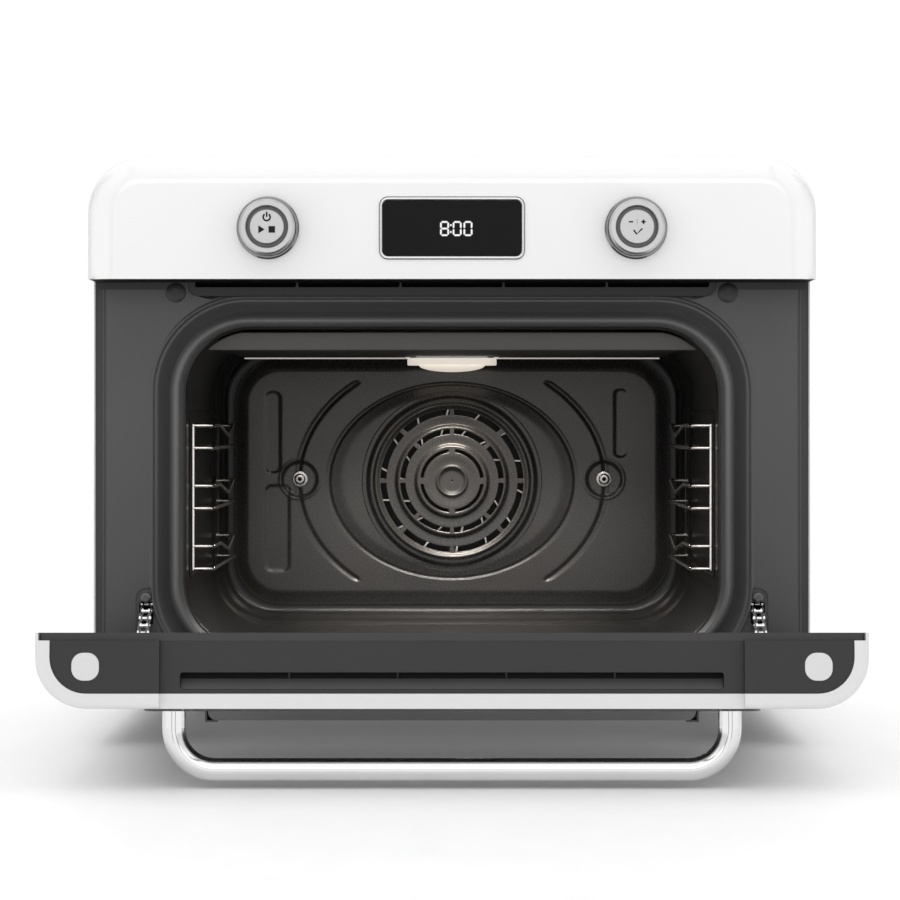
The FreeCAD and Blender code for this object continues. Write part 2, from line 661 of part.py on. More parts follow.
def controls():
    """Two knobs, each a turning ring with its own push button, a bezel and an encoder behind."""
    face = d.hood_front
    bezel = turned("Y", (-4, 19.2), (-4, 20.2), (-3, 21.1), (0, 21.1), (0, 19.2))
    node("knob_bezels", both(move(bezel, d.control_x, face, d.control_z)))
    encoder = turned("Y", (12.6, 0), (21, 0), (21, 16), (9.4, 16), (9.4, 12.6), (12.6, 12.6))
    board_y = face + 21
    board = box(-150, 150, board_y, board_y + 1.6, 326, 388)
    chips = [box(x, x + 14, board_y + 1.6, board_y + 4, 334, 344) for x in (-90, -40, 10, 60)]
    clock = box(-26, 26, face + 2.3, board_y, d.control_z - 9, d.control_z + 9)
    encoders = both(move(encoder, d.control_x, face, d.control_z))
    node("control_board", joined(board, clock, *chips, encoders))
    for name, x in (("left", -d.control_x), ("right", d.control_x)):
        knob = turned("Y", (-15, 13.7), (-16, 14.5), (-16, 17.4), (-15, 18.7), (-1.2, 18.7),
                      (-1.2, 14.2), (9, 14.2), (9, 12.4), (-3.5, 12.4), (-3.5, 13.7))
        node(f"{name}_knob", move(knob, x, face, d.control_z))
        button = turned("Y", (-15.6, 0), (10.4, 0), (10.4, 4), (-4, 4), (-4, 11.5), (-15.2, 11.5),
                        (-15.6, 11))
        node(f"{name}_button", move(button, x, face, d.control_z))


def door_section(inset_side, inset_face):
    """The door seen from above: square towards the oven, with two round corners outside."""
    half = d.door_half - inset_side
    front = d.door_front + inset_face
    corner = d.door_corner - inset_side
    return outline((-half, front, corner), (half, front, corner), (half, d.door_back), (-half, d.door_back))


def door_cutters(back=None):
    """Room in the door for the hinge brackets and the chains, on both sides."""
    back = d.door_back + 2 if back is None else back
    hinge, slot = d.hinge_x, d.hinge_slot
    cutters = []
    for side in (-1, 1):
        at_hinge, at_chain = side * hinge, side * d.chain_x
        cutters.append(box(at_hinge - slot, at_hinge + slot, d.hinge_y - 8, back, 36, d.hinge_z + 9.6))
        cutters.append(box(at_chain - 6, at_chain + 6, d.hinge_y - 10, back, 50, 97))
    return cutters


def door_shell():
    """The door's white outer shell, with room for glass, frame, cap and hinges."""
    front, back, low, high = d.door_front, d.door_back, d.door_bottom, d.door_top
    wall, frame = d.door_wall, d.door_frame_half
    shell = slab("XY", low, high - low, door_section(0, 0))
    low_value, back_value, front_value = low.value, back.value, front.value
    round_edges(shell, d.door_edge, lambda b: b.ZMax < low_value + 0.01 and b.YMax - b.YMin < 0.01)
    round_edges(shell, 3, lambda b: b.ZMin > high.value - 0.01 and b.YMin < front_value + 0.01)
    pocket(shell, "XZ", back - d.door_frame_depth, 10, rectangle(-frame, frame, 52, high + 5))
    hollow, inner_y = d.door_half - wall - 1.5, front + wall + 1.5
    pocket(shell, "XY", low + 14, 250, outline((-hollow, inner_y, 26), (hollow, inner_y, 26),
                                              (hollow, back + 5), (-hollow, back + 5)))
    inside, corner = d.door_half - d.rim, d.door_corner - d.rim
    cap_y = front + d.rim
    pocket(shell, "XY", high - 16, 30, outline((-inside, cap_y, corner), (inside, cap_y, corner),
                                              (inside, back + 5), (-inside, back + 5)))
    glass = d.outer_glass_half + 0.3
    pocket(shell, "XZ", front - 5, 7.5, rectangle(-glass, glass, 61.7, 298.3, 20.3))
    pocket(shell, "XZ", front - 5, 12, rectangle(-158, 158, 84, 268, 20))
    pocket(shell, "XY", high - d.dip, 10, rectangle(-d.dip_half, d.dip_half, front - 5, back + 5))
    node("door_shell", cut(shell, *door_cutters()), on_door=True)


def door_frame():
    """The dark inner frame of the door, flush with its back, and the inner glass in it."""
    front = d.door_back - d.door_frame_depth
    half, glass = d.door_frame_half - 0.2, d.inner_glass_half
    frame = slab("XZ", front, d.door_frame_depth, rectangle(-half, half, 52.2, d.door_top - d.dip - 0.8, 1),
                 rectangle(-glass, glass, 60, 300, 20))
    node("door_inner_frame", cut(frame, *door_cutters()), on_door=True)
    inner = slab("XZ", front + 0.4, 4, rectangle(0.2 - glass, glass - 0.2, 60.2, 299.8, 19.8))
    node("inner_glass", inner, on_door=True)
    half = d.outer_glass_half
    outer = slab("XZ", d.door_front - 1.5, 4, rectangle(-half, half, 62, 298, 20),
                 *[circle(x, d.handle_z, d.handle_bar + 0.4) for x in (-d.handle_half, d.handle_half)])
    node("outer_glass", outer, on_door=True)


def door_top():
    """The dark cap along the door's top edge, with its air slot, and the two white plugs in it."""
    rim = d.rim + 0.2
    half, front, back = d.door_half - rim, d.door_front + rim, d.door_back - d.door_frame_depth
    corner = d.door_corner - rim
    cap = slab("XY", d.door_top - 15, 14, outline((-half, front, corner), (half, front, corner),
                                                 (half, back), (-half, back)))
    slot_y = d.door_front + 16.6
    pocket(cap, "XY", d.door_top - 15 + 3, 30, rectangle(-163, 163, slot_y - 5.2, slot_y + 5.2, 2))
    pocket(cap, "XY", d.door_top - d.dip - 1, 30, rectangle(-d.dip_half, d.dip_half, front - 5, back + 5))
    plug_x, plug_y = 219.2, d.door_front + 25.1

    def plug_outline(x, grow):
        return rectangle(x - 8.2 - grow, x + 8.2 + grow, plug_y - 8.3 - grow, plug_y + 8.3 + grow, 7 + grow)
    pocket(cap, "XY", d.door_top - 7, 30, *[plug_outline(x, 0.1) for x in (-plug_x, plug_x)])
    node("door_top_cap", cap, on_door=True)
    plugs = [slab("XY", d.door_top - 7, 6.4, plug_outline(x, 0)) for x in (-plug_x, plug_x)]
    node("cap_plugs", group(*plugs), on_door=True)


def handle():
    """The chrome handle: a straight bar and two bent legs that reach the door."""
    bar_y = d.door_front - d.handle_stand
    inner = d.handle_half - d.handle_bend
    node("handle_bar", rod("X", -inner, bar_y, d.handle_z, d.handle_bar, inner * 2), on_door=True)
    elbow = MODEL.addObject("Part::Torus", "elbow")
    bind(elbow, Radius1=d.handle_bend, Radius2=d.handle_bar)
    elbow.Angle3 = 90
    elbow.Placement = Placement(Vector(), Rotation(Vector(0, 0, 1), -90))
    move(elbow, inner, bar_y + d.handle_bend, d.handle_z)
    leg_start = bar_y + d.handle_bend
    leg = rod("Y", d.handle_half, leg_start, d.handle_z, d.handle_bar, d.door_front + 2.5 - leg_start)
    node("handle_elbows", both(joined(elbow, leg)), on_door=True)


def hinges():
    """The cabinet's hinge brackets and the door's arms with their pins."""
    x, y, z, pin = d.hinge_x, d.hinge_y, d.hinge_z, d.hinge_pin
    low, high = z - 7, z + 7
    arm = joined(rod("X", x - 2, y, z, 7, 4), box(x - 2, x + 2, y, 16, low, high),
                 box(x - 14, x + 14, 2, 4, low, high))
    bracket = cut(arm, rod("X", x - 3, y, z, pin + 0.05, 6))
    node("hinge_brackets", both(bracket))
    cheeks = []
    inner_y = y - 17
    for cheek_x in (x - 5.5, x + 3.5):
        far_x = cheek_x + 2
        cheeks.append(joined(rod("X", cheek_x, y, z, 6.4, 2), box(cheek_x, far_x, inner_y, y, z, z + 44),
                             box(cheek_x, far_x, y - 1, y + 6.4, z, z + 20)))
    pin_rod = rod("X", x - 5.5, y, z, pin, 11)
    back_plate = box(x - 5.5, x + 5.5, inner_y, inner_y + 2, z + 14, z + 44)
    arms = joined(*cheeks, pin_rod, back_plate)
    node("door_hinge_arms", group(both(arms), both(chain_anchor())), on_door=True)


def chain_fittings():
    """What guides the chains: rollers between two cheeks behind the frame, and the spring posts."""
    x, y, z = d.chain_x, d.guide_y, d.guide_z
    cheeks = [box(x + offset, x + offset + 1.2, front, 26, z - 8, z + 22)
              for offset, front in ((-7.2, 10.5), (6, 2))]
    slope = math.radians(d.chain_slope.value)
    along = Vector(0, math.cos(slope), math.sin(slope))
    across = Vector(0, -math.sin(slope), math.cos(slope))
    rollers = []
    for lift in (-6, 6):
        spot = along * 16 + across * lift
        rollers.append(rod("X", x - 7, y + spot.y, z + spot.z, 2.5, 14))
    node("chain_guides", group(both(joined(*cheeks, *rollers)), both(spring_post())))


def chain_anchor():
    """What holds a chain's end in the door: two ears and a pin."""
    x, door_y = d.chain_x, d.door_front + d.door_wall + 1.5
    ears = [box(x + offset, x + offset + 1, door_y, d.anchor_y + 5, d.anchor_z - 6, d.anchor_z + 6)
            for offset in (-5.9, 4.9)]
    pin = rod("X", x - 5.5, d.anchor_y, d.anchor_z, 1.6, 11)
    web = box(x - 5.9, x + 5.9, door_y, door_y + 1.5, d.anchor_z - 6, d.anchor_z + 6)
    return joined(*ears, pin, web)


def spring_post():
    """The post that holds a chain spring's far end, on a plate against the casing."""
    guide, inwards, _ = chain_frame()
    last = guide + inwards * d.spring_far.value
    x, y, z = d.chain_x, last.y, last.z
    return joined(rod("X", x - 6, y, z, 2, 40), box(x + 31, x + 35, y - 14, y + 14, z - 20, z + 20))


def chain_frame():
    """The chain's own directions in the open pose: its guide point, its line and what is square to it."""
    slope = math.radians(d.chain_slope.value)
    guide = point(0, d.guide_y, d.guide_z)
    inwards = Vector(0, math.cos(slope), math.sin(slope))
    upwards = Vector(0, -math.sin(slope), math.cos(slope))
    return guide, inwards, upwards


def link_plate(start, end, x, half_height, thick):
    """One side plate of a chain link, round at both ends."""
    turn = Vector(1, 0, 0)
    way = (end - start).normalize()
    rise = turn.cross(way) * half_height
    corners = [start + rise, start - rise, end - rise, end + rise]
    shift = Vector(x, 0, 0)
    flat = Part.Face(Part.makePolygon([c + shift for c in corners + corners[:1]])).extrude(turn * thick)
    ends = [Part.makeCylinder(half_height, thick, spot + shift, turn) for spot in (start, end)]
    return flat.fuse(ends)


def door_chains():
    """The two roller chains. Each ends in a slotted eye on the door's pin and a spring's hook inside."""
    guide, inwards, upwards = chain_frame()
    pitch, half_height = d.chain_pitch.value, 2.8
    start = guide - inwards * d.chain_reach.value
    end = guide + inwards * d.chain_tail.value
    eye_room = 9
    count = round(((end - start).Length - eye_room) / pitch)
    pins = [end - inwards * (pitch * i) for i in range(count + 1)]
    for name, side in (("chain_left", -1), ("chain_right", 1)):
        middle = Vector(side * d.chain_x.value, 0, 0)
        to_pin = middle - Vector(4.2, 0, 0)
        pieces = [Part.makeCylinder(1.7, 8.4, pin + to_pin, Vector(1, 0, 0)) for pin in pins]
        for i in range(count):
            inset = 1.6 if i % 2 else 2.9
            for x in (-inset - 1.1, inset):
                pieces.append(link_plate(pins[i + 1], pins[i], middle.x + x, half_height, 1.1))
        pieces.append(chain_eye(start, pins[-1], middle, inwards, upwards))
        node(name, shaped(pieces[0].fuse(pieces[1:]).removeSplitter()))


def chain_eye(spot, last_pin, middle, inwards, upwards):
    """The plate at the chain's outer end. Its slot runs square to the chain, for the door pin's play."""
    low, high, half_slot, wall, thick = -4.4, 6.2, 2.6, 1.8, 2.6
    side = Vector(thick, 0, 0)

    def block(near, far, bottom, top):
        corners = [spot + inwards * a + upwards * b for a, b in
                   ((near, bottom), (far, bottom), (far, top), (near, top))]
        corners = [c + middle - side / 2 for c in corners]
        return Part.Face(Part.makePolygon(corners + corners[:1])).extrude(side)
    plate = block(-half_slot - wall, half_slot + wall, low - wall, high + wall)
    neck = block(half_slot, (last_pin - spot).dot(inwards), -2.2, 2.2)
    return plate.fuse(neck).cut(block(-half_slot, half_slot, low, high))


def chain_springs():
    """The springs that pull the chains in."""
    guide, inwards, _ = chain_frame()
    first = guide + inwards * (d.chain_tail.value + 6)
    last = guide + inwards * d.spring_far.value
    for name, side in (("chain_spring_left", -1), ("chain_spring_right", 1)):
        shift = Vector(side * d.chain_x.value, 0, 0)
        coil = Part.makeCylinder(4, (last - first).Length - 2, first + shift, inwards)
        bore = Part.makeCylinder(2.8, (last - first).Length - 2, first + shift, inwards)
        node(name, shaped(coil.cut(bore)))


def base_pan():
    """The pan under the oven: a floor, the skirts that stand on it and two rails for the drip tray."""
    thin, base, front, back = d.sheet, d.base_z, 16, d.casing_back
    half, floor_top, skirt_top = d.casing_half - d.casing_wall - 0.3, base + thin, base + d.skirt_rise
    floor = box(-half, half, d.casing_front, back, base, floor_top)
    front_skirt = box(-half, half, front, front + thin, floor_top, skirt_top)
    back_skirt = box(-half, half, back - thin, back, floor_top, skirt_top)
    side_skirt = box(half - thin, half, front + thin, back - thin, floor_top, skirt_top)
    holes = [rod("Y", x, back - 3, 36, 1.7, 5) for x in (-90, 90)]
    low, tray = d.tray_bottom, d.tray_half
    profile = ((2.6, base), (1.4, base), (1.4, low - 0.4), (-6, low - 0.4), (-6, low - 1.6), (2.6, low - 1.6))
    rail = slab("XZ", 6, d.tray_length - 6, outline(*[(tray + x, z) for x, z in profile]))
    node("base_pan", group(floor, front_skirt, cut(back_skirt, *holes), both(side_skirt), both(rail)))


def feet():
    """The four rubber feet, each with a flange against the pan."""
    radius, flange_z, flange = d.foot_radius, d.base_z - 6, d.foot_radius + 4
    profile = ((0, 0), (0, radius - 1), (1, radius), (flange_z, radius), (flange_z, flange),
               (d.base_z, flange), (d.base_z, 0))
    pairs = [both(move(turned("Z", *profile), d.foot_x, y, 0)) for y in (d.foot_front, d.foot_back)]
    node("feet", group(*pairs))


def drip_tray():
    """The shallow tray under the front that catches condensed water."""
    half, low, high = d.tray_half, d.tray_bottom, d.tray_top
    tray = slab("XZ", 0, d.tray_length, outline((-half, low, 6), (half, low, 6), (half, high), (-half, high)))
    pocket(tray, "XY", low + 1.5, 20, rectangle(2 - half, half - 2, 2.5, d.tray_length - 2, 5))
    node("drip_tray", tray)


def water_tank():
    """The water tank that slides out of the right side, with its lid."""
    inner, outer = d.tank_inner, d.casing_half
    front, back, low, high = d.tank_front, d.tank_back, d.tank_bottom, d.tank_top
    tank = slab("YZ", inner, outer - inner, rectangle(front, back, low, high, 5))
    pocket(tank, "XY", low + 2.5, 80, rectangle(inner + 2.5, outer - 16, front + 2.5, back - 2.5, 6))
    grip = rectangle(front + 60, back - 60, low + 18, high - 16, 6)
    pocket(tank, "YZ", outer - 12, 20, grip)
    node("water_tank", tank)
    fill = rod("Z", inner + 30, front + 30, high - 1, 11, 10)
    lid = slab("YZ", inner, outer - inner - 6, rectangle(front + 1, back - 1, high, high + 2.4))
    node("tank_lid", cut(lid, fill))


def convection():
    """The fan behind the baffle, with its shaft and motor."""
    middle, front, radius, shaft = d.cavity_z, d.fan_front, d.fan_radius, d.shaft
    disc = turned("Y", (20.8, shaft), (22, shaft), (22, radius), (20.8, radius), (20.8, 10), (6, 9),
                  (6, shaft))
    node("convection_fan", move(joined(disc, *fan_blades(radius)), 0, front, middle))
    nut = turned("Y", (-4, 0), (-4, 3), (-3, 6.5), (2, 6.5), (2, 9), (5.9, 9), (5.9, shaft), (56, shaft),
                 (56, 0))
    node("fan_shaft", move(nut, 0, front, middle))
    plate_y, leg_x, leg_z = 326, 60, 26
    bracket = box(-leg_x - 10, leg_x + 10, plate_y, plate_y + 2, middle - leg_z - 8, middle + leg_z + 8)
    stator = slab("XZ", plate_y + 2, 24, centred(32, 32, 4))
    cap = rod("Y", 0, plate_y + 26, middle, 26, 12)
    shaft_hole = rod("Y", 0, d.chamber_back, middle, shaft + 0.5, 32)
    legs = [rod("Y", x, d.chamber_back + d.sheet, middle + z, 4, plate_y - d.chamber_back - d.sheet)
            for x in (-leg_x, leg_x) for z in (-leg_z, leg_z)]
    node("fan_motor", cut(joined(bracket, stator, cap, *legs), shaft_hole))


def fan_blades(radius, count=14, slant=28):
    """The fan's blades, each turned back from the radius by the same slant."""
    blades = []
    for i in range(count):
        place = Rotation(Vector(0, 1, 0), 360 / count * i)
        root = place.multVec(Vector(radius.value * 0.6, 0, 0))
        blade = MODEL.addObject("Part::Box", "blade")
        bind(blade, Length=radius * 0.4, Width=19, Height=1.2)
        blade.Placement = Placement(Vector(), place * Rotation(Vector(0, 1, 0), slant))
        blades.append(move(blade, root.x, 2, root.z))
    return blades


def blower():
    """The cooling blower over the cavity: a long rotor, its housing, the duct to the vents and its motor."""
    y, z, radius, left, right = d.blower_y, d.blower_z, d.blower_radius, d.blower_left, d.blower_right
    length = right - left
    discs = [rod("X", x, y, z, radius, 1.5) for x in (left, left + length / 2, right - 1.5)]
    vanes = []
    for i in range(18):
        angle = 2 * math.pi * i / 18
        reach = radius.value - 2.5
        vanes.append(rod("X", left, y + reach * math.sin(angle), z + reach * math.cos(angle), 1.4, length))
    axle = rod("X", left - 8, y, z, 3, length + 20)
    node("blower_rotor", joined(*discs, *vanes, axle))
    thin = d.sheet
    case = box(left - 6, right + 6, y - 30, y + 30, z - 27, z + 30)
    room = box(left - 6 + thin, right + 6 - thin, y - 30 + thin, y + 30 - thin, z - 27 + thin, z + 30 - thin)
    inlet = box(left + 10, right - 10, y + 5, y + 40, z + 5, z + 24)
    outlet = box(left + 4, right - 4, y - 40, y - 20, z - 24, z - 10)
    bearings = rod("X", left - 10, y, z, 3.05, length + 20)
    duct = cut(box(left + 2, right - 2, 15, y - 29.4, z - 26, z - 8),
               box(left + 2 + thin, right - 2 - thin, 10, y, z - 26 + thin, z - 8 - thin))
    node("blower_housing", joined(cut(case, room, inlet, outlet, bearings), duct))
    motor = cut(rod("X", right + 8, y, z, 21, 30), rod("X", right + 6, y, z, 3.1, 8))
    node("blower_motor", motor)


def steam_parts():
    """The boiler, pump, hoses and nozzle that turn the tank's water into steam."""
    boiler = slab("XY", 305, 46, rectangle(-200, -120, 150, 250, 12))
    pad(boiler, "XY", 325, 3, rectangle(-206, -114, 144, 256, 16))
    node("steam_boiler", boiler)
    pump_x, pump_z = 92, 325
    pump = joined(rod("Y", pump_x, 190, pump_z, 17, 46), rod("Y", pump_x, 182, pump_z, 6, 62),
                  box(pump_x - 17, pump_x + 17, 196, 230, 303, pump_z))
    node("water_pump", pump)
    x, y = d.nozzle_x, d.nozzle_y
    node("steam_nozzle", cut(rod("Z", x, y, 281, 4, 24), rod("Z", x, y, 280, 2.5, 26)))
    suction = bent_wire([Vector(129.8, 290, 312), Vector(pump_x, 290, 312), Vector(pump_x, 266, pump_z),
                         Vector(pump_x, 244, pump_z)], 9, 3)
    supply = bent_wire([Vector(pump_x, 182, pump_z), Vector(pump_x, 150, pump_z), Vector(40, 150, 334),
                        Vector(-70, 150, 334), Vector(-92, 200, 334), Vector(-120, 200, 334)], 14, 3)
    node("water_hoses", group(shaped(suction), shaped(supply)))
    board = box(-60, 40, 200, 330, 312, 313.6)
    heatsink = [box(-50 + 12 * i, -46 + 12 * i, 215, 255, 313.6, 340) for i in range(4)]
    relays = [box(5, 25, 210 + 26 * i, 230 + 26 * i, 313.6, 330) for i in range(4)]
    legs = [rod("Z", x, y, 300.4, 2.5, 11.6) for x in (-54, 34) for y in (206, 324)]
    node("power_board", joined(board, *heatsink, *relays, *legs))


def rear():
    """The rear cover with its vents, the mains inlet and the screws."""
    back, thin = d.casing_back, 1.5
    cover = slab("XZ", back, thin, arch(d.casing_half, d.casing_bottom, d.casing_top, d.casing_corner))
    slots = [box(x - 20, x + 20, back - 1, back + 5, 330 + 8 * row, 333 + 8 * row)
             for x in (-130, -78, -26, 26, 78, 130) for row in range(6)]
    slots += [box(x - 18, x + 18, back - 1, back + 5, 130 + 8 * row, 133 + 8 * row)
              for x in (-44, 0, 44) for row in range(12)]
    inlet_x, inlet_z = -190, 70
    inlet_hole = box(inlet_x - 12, inlet_x + 12, back - 1, back + 5, inlet_z - 8, inlet_z + 8)
    places = [(x, z) for x in (-228, 228) for z in (60, 200, 340)]
    places += [(x, z) for x in (-90, 90) for z in (36, 388)]
    holes = [rod("Y", x, back - 1, z, 1.7, 5) for x, z in places]
    node("rear_cover", cut(cover, *slots, *holes, inlet_hole))
    screw = [(1.5, 1.6), (-9, 1.6), (-9, 0), (3.4, 0), (3.4, 1.6), (2.8, 3), (1.5, 3.2)]
    node("cover_screws", group(*[move(turned("Y", *screw), x, back, z) for x, z in places]))
    mains_inlet(inlet_x, back, inlet_z)


def mains_inlet(x, y, z):
    """The socket for the mains lead, with its flange outside the cover and three pins inside."""
    def block(half, rise, front, back):
        return box(x - half, x + half, y + front, y + back, z - rise, z + rise)
    socket = cut(joined(block(11.8, 7.8, -22, 1.5), block(18, 12, 1.5, 5)), block(9.5, 5.5, -12, 6))
    pins = [box(x + pin_x - 1, x + pin_x + 1, y - 13, y - 1, z + pin_z - 2, z + pin_z + 2)
            for pin_x, pin_z in ((-6, -1.5), (0, 1.5), (6, -1.5))]
    node("mains_inlet", joined(socket, *pins))


# ---------------------------------------------------------------- the whole oven

def check_model():
    """Stops with a message if anything in the document failed or a cutter missed."""
    for part in MODEL.Objects:
        if "Invalid" in part.State or "Error" in part.State:
            raise SystemExit(f"{part.Label} ({part.TypeId}) failed: {part.State}")
        if part.TypeId == "PartDesign::Pocket" and part.Shape.Volume > part.BaseFeature.Shape.Volume - 1:
            raise SystemExit(f"{part.Name} of {part.getParentGeoFeatureGroup().Label} cuts nothing")
    for label, part in NODES.items():
        if part.Shape.isNull() or not part.Shape.isValid() or not part.Shape.Solids:
            raise SystemExit(f"the shape of {label} isn't valid")


def write_parts():
    """Writes each sub-part to its own STEP file."""
    os.makedirs("parts", exist_ok=True)
    for label, part in NODES.items():
        part.Shape.exportStep(f"parts/{label}.step")


for build in (control_hood, outer_casing, front_frame, door_gasket, cavity_liner, cavity_insulation,
              fan_baffle, baffle_screws, ceiling_panel, grill_element, ring_heater, oven_lamp, racks,
              frame_fittings, display, controls, door_shell, door_frame, door_top, handle, hinges,
              chain_fittings, door_chains, chain_springs, base_pan, feet, drip_tray, water_tank, convection,
              blower, steam_parts, rear):
    build()
MODEL.recompute()
check_model()
write_parts()
print(len(NODES), "nodes")
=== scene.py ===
"""Looks for the countertop combi steam oven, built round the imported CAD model.

Lengths below are in millimetres, because the model's own sizes are, and mm() turns them into the
metres that Blender works in. Two sets of axes are used. On the cabinet, y counts back from the
front frame's plane. On the door, the same numbers describe the door closed, and on_door() swings
them open about the hinge. Heights count from the table.
"""
import json
import math
import bmesh
import bpy
import numpy as np
from mathutils import Matrix, Vector


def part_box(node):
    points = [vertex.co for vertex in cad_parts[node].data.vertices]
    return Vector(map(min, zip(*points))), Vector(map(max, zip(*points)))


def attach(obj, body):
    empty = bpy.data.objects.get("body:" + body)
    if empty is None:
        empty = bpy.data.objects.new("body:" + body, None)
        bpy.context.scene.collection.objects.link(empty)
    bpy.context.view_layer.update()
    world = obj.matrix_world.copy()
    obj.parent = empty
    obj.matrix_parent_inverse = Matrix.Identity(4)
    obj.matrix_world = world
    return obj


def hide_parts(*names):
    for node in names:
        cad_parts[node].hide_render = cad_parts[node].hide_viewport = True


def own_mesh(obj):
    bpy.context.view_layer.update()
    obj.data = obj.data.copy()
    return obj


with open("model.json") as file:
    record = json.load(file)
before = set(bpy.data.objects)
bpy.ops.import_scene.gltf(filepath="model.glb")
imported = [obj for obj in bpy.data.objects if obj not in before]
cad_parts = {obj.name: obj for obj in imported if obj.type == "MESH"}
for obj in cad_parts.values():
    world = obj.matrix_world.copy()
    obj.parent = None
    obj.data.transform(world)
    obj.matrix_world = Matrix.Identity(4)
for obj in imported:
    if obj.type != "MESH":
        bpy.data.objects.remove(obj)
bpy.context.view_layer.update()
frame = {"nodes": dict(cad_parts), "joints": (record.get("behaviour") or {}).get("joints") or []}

MM = 0.001
SCENE = bpy.context.scene
JOINTS = {joint["name"]: joint for joint in frame["joints"]}
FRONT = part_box("front_frame")[0].y
HINGE = Vector(JOINTS["door_hinge"]["pos_m"])
OPEN_ANGLE = -math.radians(JOINTS["door_hinge"]["range_deg"][0])
SWING = Matrix.Rotation(OPEN_ANGLE, 4, "X")
CAVITY_Z = 176.4
FRAME_HALF, FRAME_LOW, FRAME_HIGH = 245.5, 30, 330
VENT_HALF, VENT_LOW, VENT_HIGH = 34.9, 315, 319.4
VENT_PITCH = 71.2
VENT_PLACES = [VENT_PITCH * i for i in range(-2, 3)]
CHAIN_X, HINGE_X = 211, 228
HANDLE_X, HANDLE_Z = 168.3, 287
CORNER_STEPS = 18


# ---------------------------------------------------------------- places

def mm(x, y, z):
    """A point on the cabinet, from millimetres."""
    return Vector((x * MM, FRONT + y * MM, z * MM))


def on_door(x, y, z):
    """A point on the door, given closed and returned open."""
    return HINGE + SWING @ (mm(x, y, z) - HINGE)


# ---------------------------------------------------------------- meshes

def finish_piece(obj, body, material, slot, *nodes):
    """Gives a new piece its material and its body, and hides the CAD nodes that it stands for."""
    obj.data.materials.clear()
    obj.data.materials.append(material)
    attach(obj, body)
    if nodes:
        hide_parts(*nodes)
    return obj


def smooth(obj, angle=32):
    """Smooth shading with sharp edges past the angle, and normals that keep flat faces flat."""
    mesh = obj.data
    mesh.polygons.foreach_set("use_smooth", [True] * len(mesh.polygons))
    mesh.set_sharp_from_angle(angle=math.radians(angle))
    modifier = obj.modifiers.new("flat_faces", "WEIGHTED_NORMAL")
    modifier.keep_sharp = True
    modifier.weight = 80
    return obj


def new_piece(name, points, faces, angle=32):
    """A mesh object from points in metres, with its faces turned outwards."""
    mesh = bpy.data.meshes.new(name)
    mesh.from_pydata([tuple(p) for p in points], [], faces)
    work = bmesh.new()
    work.from_mesh(mesh)
    bmesh.ops.remove_doubles(work, verts=work.verts, dist=1e-6)
    bmesh.ops.recalc_face_normals(work, faces=work.faces)
    work.to_mesh(mesh)
    work.free()
    obj = bpy.data.objects.new(name, mesh)
    SCENE.collection.objects.link(obj)
    return smooth(obj, angle)


def loft(name, loops, closed=False, caps=(False, False), angle=32):
    """A skin over loops of the same number of points. Closed joins the last loop to the first."""
    count = len(loops[0])
    points = [p for loop in loops for p in loop]
    faces = []
    rows = len(loops) if closed else len(loops) - 1
    for row in range(rows):
        after = (row + 1) % len(loops)
        for i in range(count):
            j = (i + 1) % count
            faces.append((row * count + i, row * count + j, after * count + j, after * count + i))
    if caps[0]:
        faces.append(tuple(range(count)))
    if caps[1]:
        faces.append(tuple((len(loops) - 1) * count + i for i in range(count)))
    return new_piece(name, points, faces, angle)


def round_rectangle(left, right, low, high, radii, steps=10):
    """Flat points of a rectangle with round corners, anticlockwise from its bottom right corner.
    radii are one for all, or for the bottom right, top right, top left and bottom left corners."""
    if not isinstance(radii, tuple):
        radii = (radii,) * 4
    centres = ((right - radii[0], low + radii[0], -90), (right - radii[1], high - radii[1], 0),
               (left + radii[2], high - radii[2], 90), (left + radii[3], low + radii[3], 180))
    outline = []
    for (x, z, start), radius in zip(centres, radii):
        for i in range(steps + 1):
            angle = math.radians(start + 90 * i / steps)
            outline.append((x + radius * math.cos(angle), z + radius * math.sin(angle)))
    return outline


def bar(x, z, width, height):
    """The corners of a flat rectangle about a point."""
    left, right, low, high = x - width / 2, x + width / 2, z - height / 2, z + height / 2
    return [(left, low), (right, low), (right, high), (left, high)]


def block(name, outline, front, back):
    """A solid between two depths, from an outline of (x, z)."""
    return loft(name, [[mm(x, y, z) for x, z in outline] for y in (front, back)], caps=(True, True))


def level_plate(name, outline, low, high):
    """A solid between two heights, from an outline of (x, y)."""
    return loft(name, [[mm(x, y, z) for x, y in outline] for z in (low, high)], caps=(True, True))


def turned(name, profile, middle, axis="Y", count=72, place=mm, angle=32):
    """A piece turned about an axis. The profile's points are (place along the axis, radius)."""
    loops = []
    for along, radius in profile:
        loop = []
        for i in range(count):
            a = 2 * math.pi * i / count
            u, v = radius * math.cos(a), radius * math.sin(a)
            offset = {"X": (along, u, v), "Y": (u, along, -v), "Z": (u, v, along)}[axis]
            loop.append(place(*(m + o for m, o in zip(middle, offset))))
        loops.append(loop)
    return loft(name, loops, caps=(profile[0][1] > 0, profile[-1][1] > 0), angle=angle)


def subtract(obj, *cutters):
    """Cuts the cutters out of a piece and deletes them."""
    obj.modifiers.clear()
    for cutter in cutters:
        modifier = obj.modifiers.new("cut", "BOOLEAN")
        modifier.solver = "EXACT"
        modifier.object = cutter
        depsgraph = bpy.context.evaluated_depsgraph_get()
        baked = bpy.data.meshes.new_from_object(obj.evaluated_get(depsgraph))
        obj.modifiers.remove(modifier)
        obj.data = baked
        bpy.data.objects.remove(cutter)
    return obj


# ---------------------------------------------------------------- materials

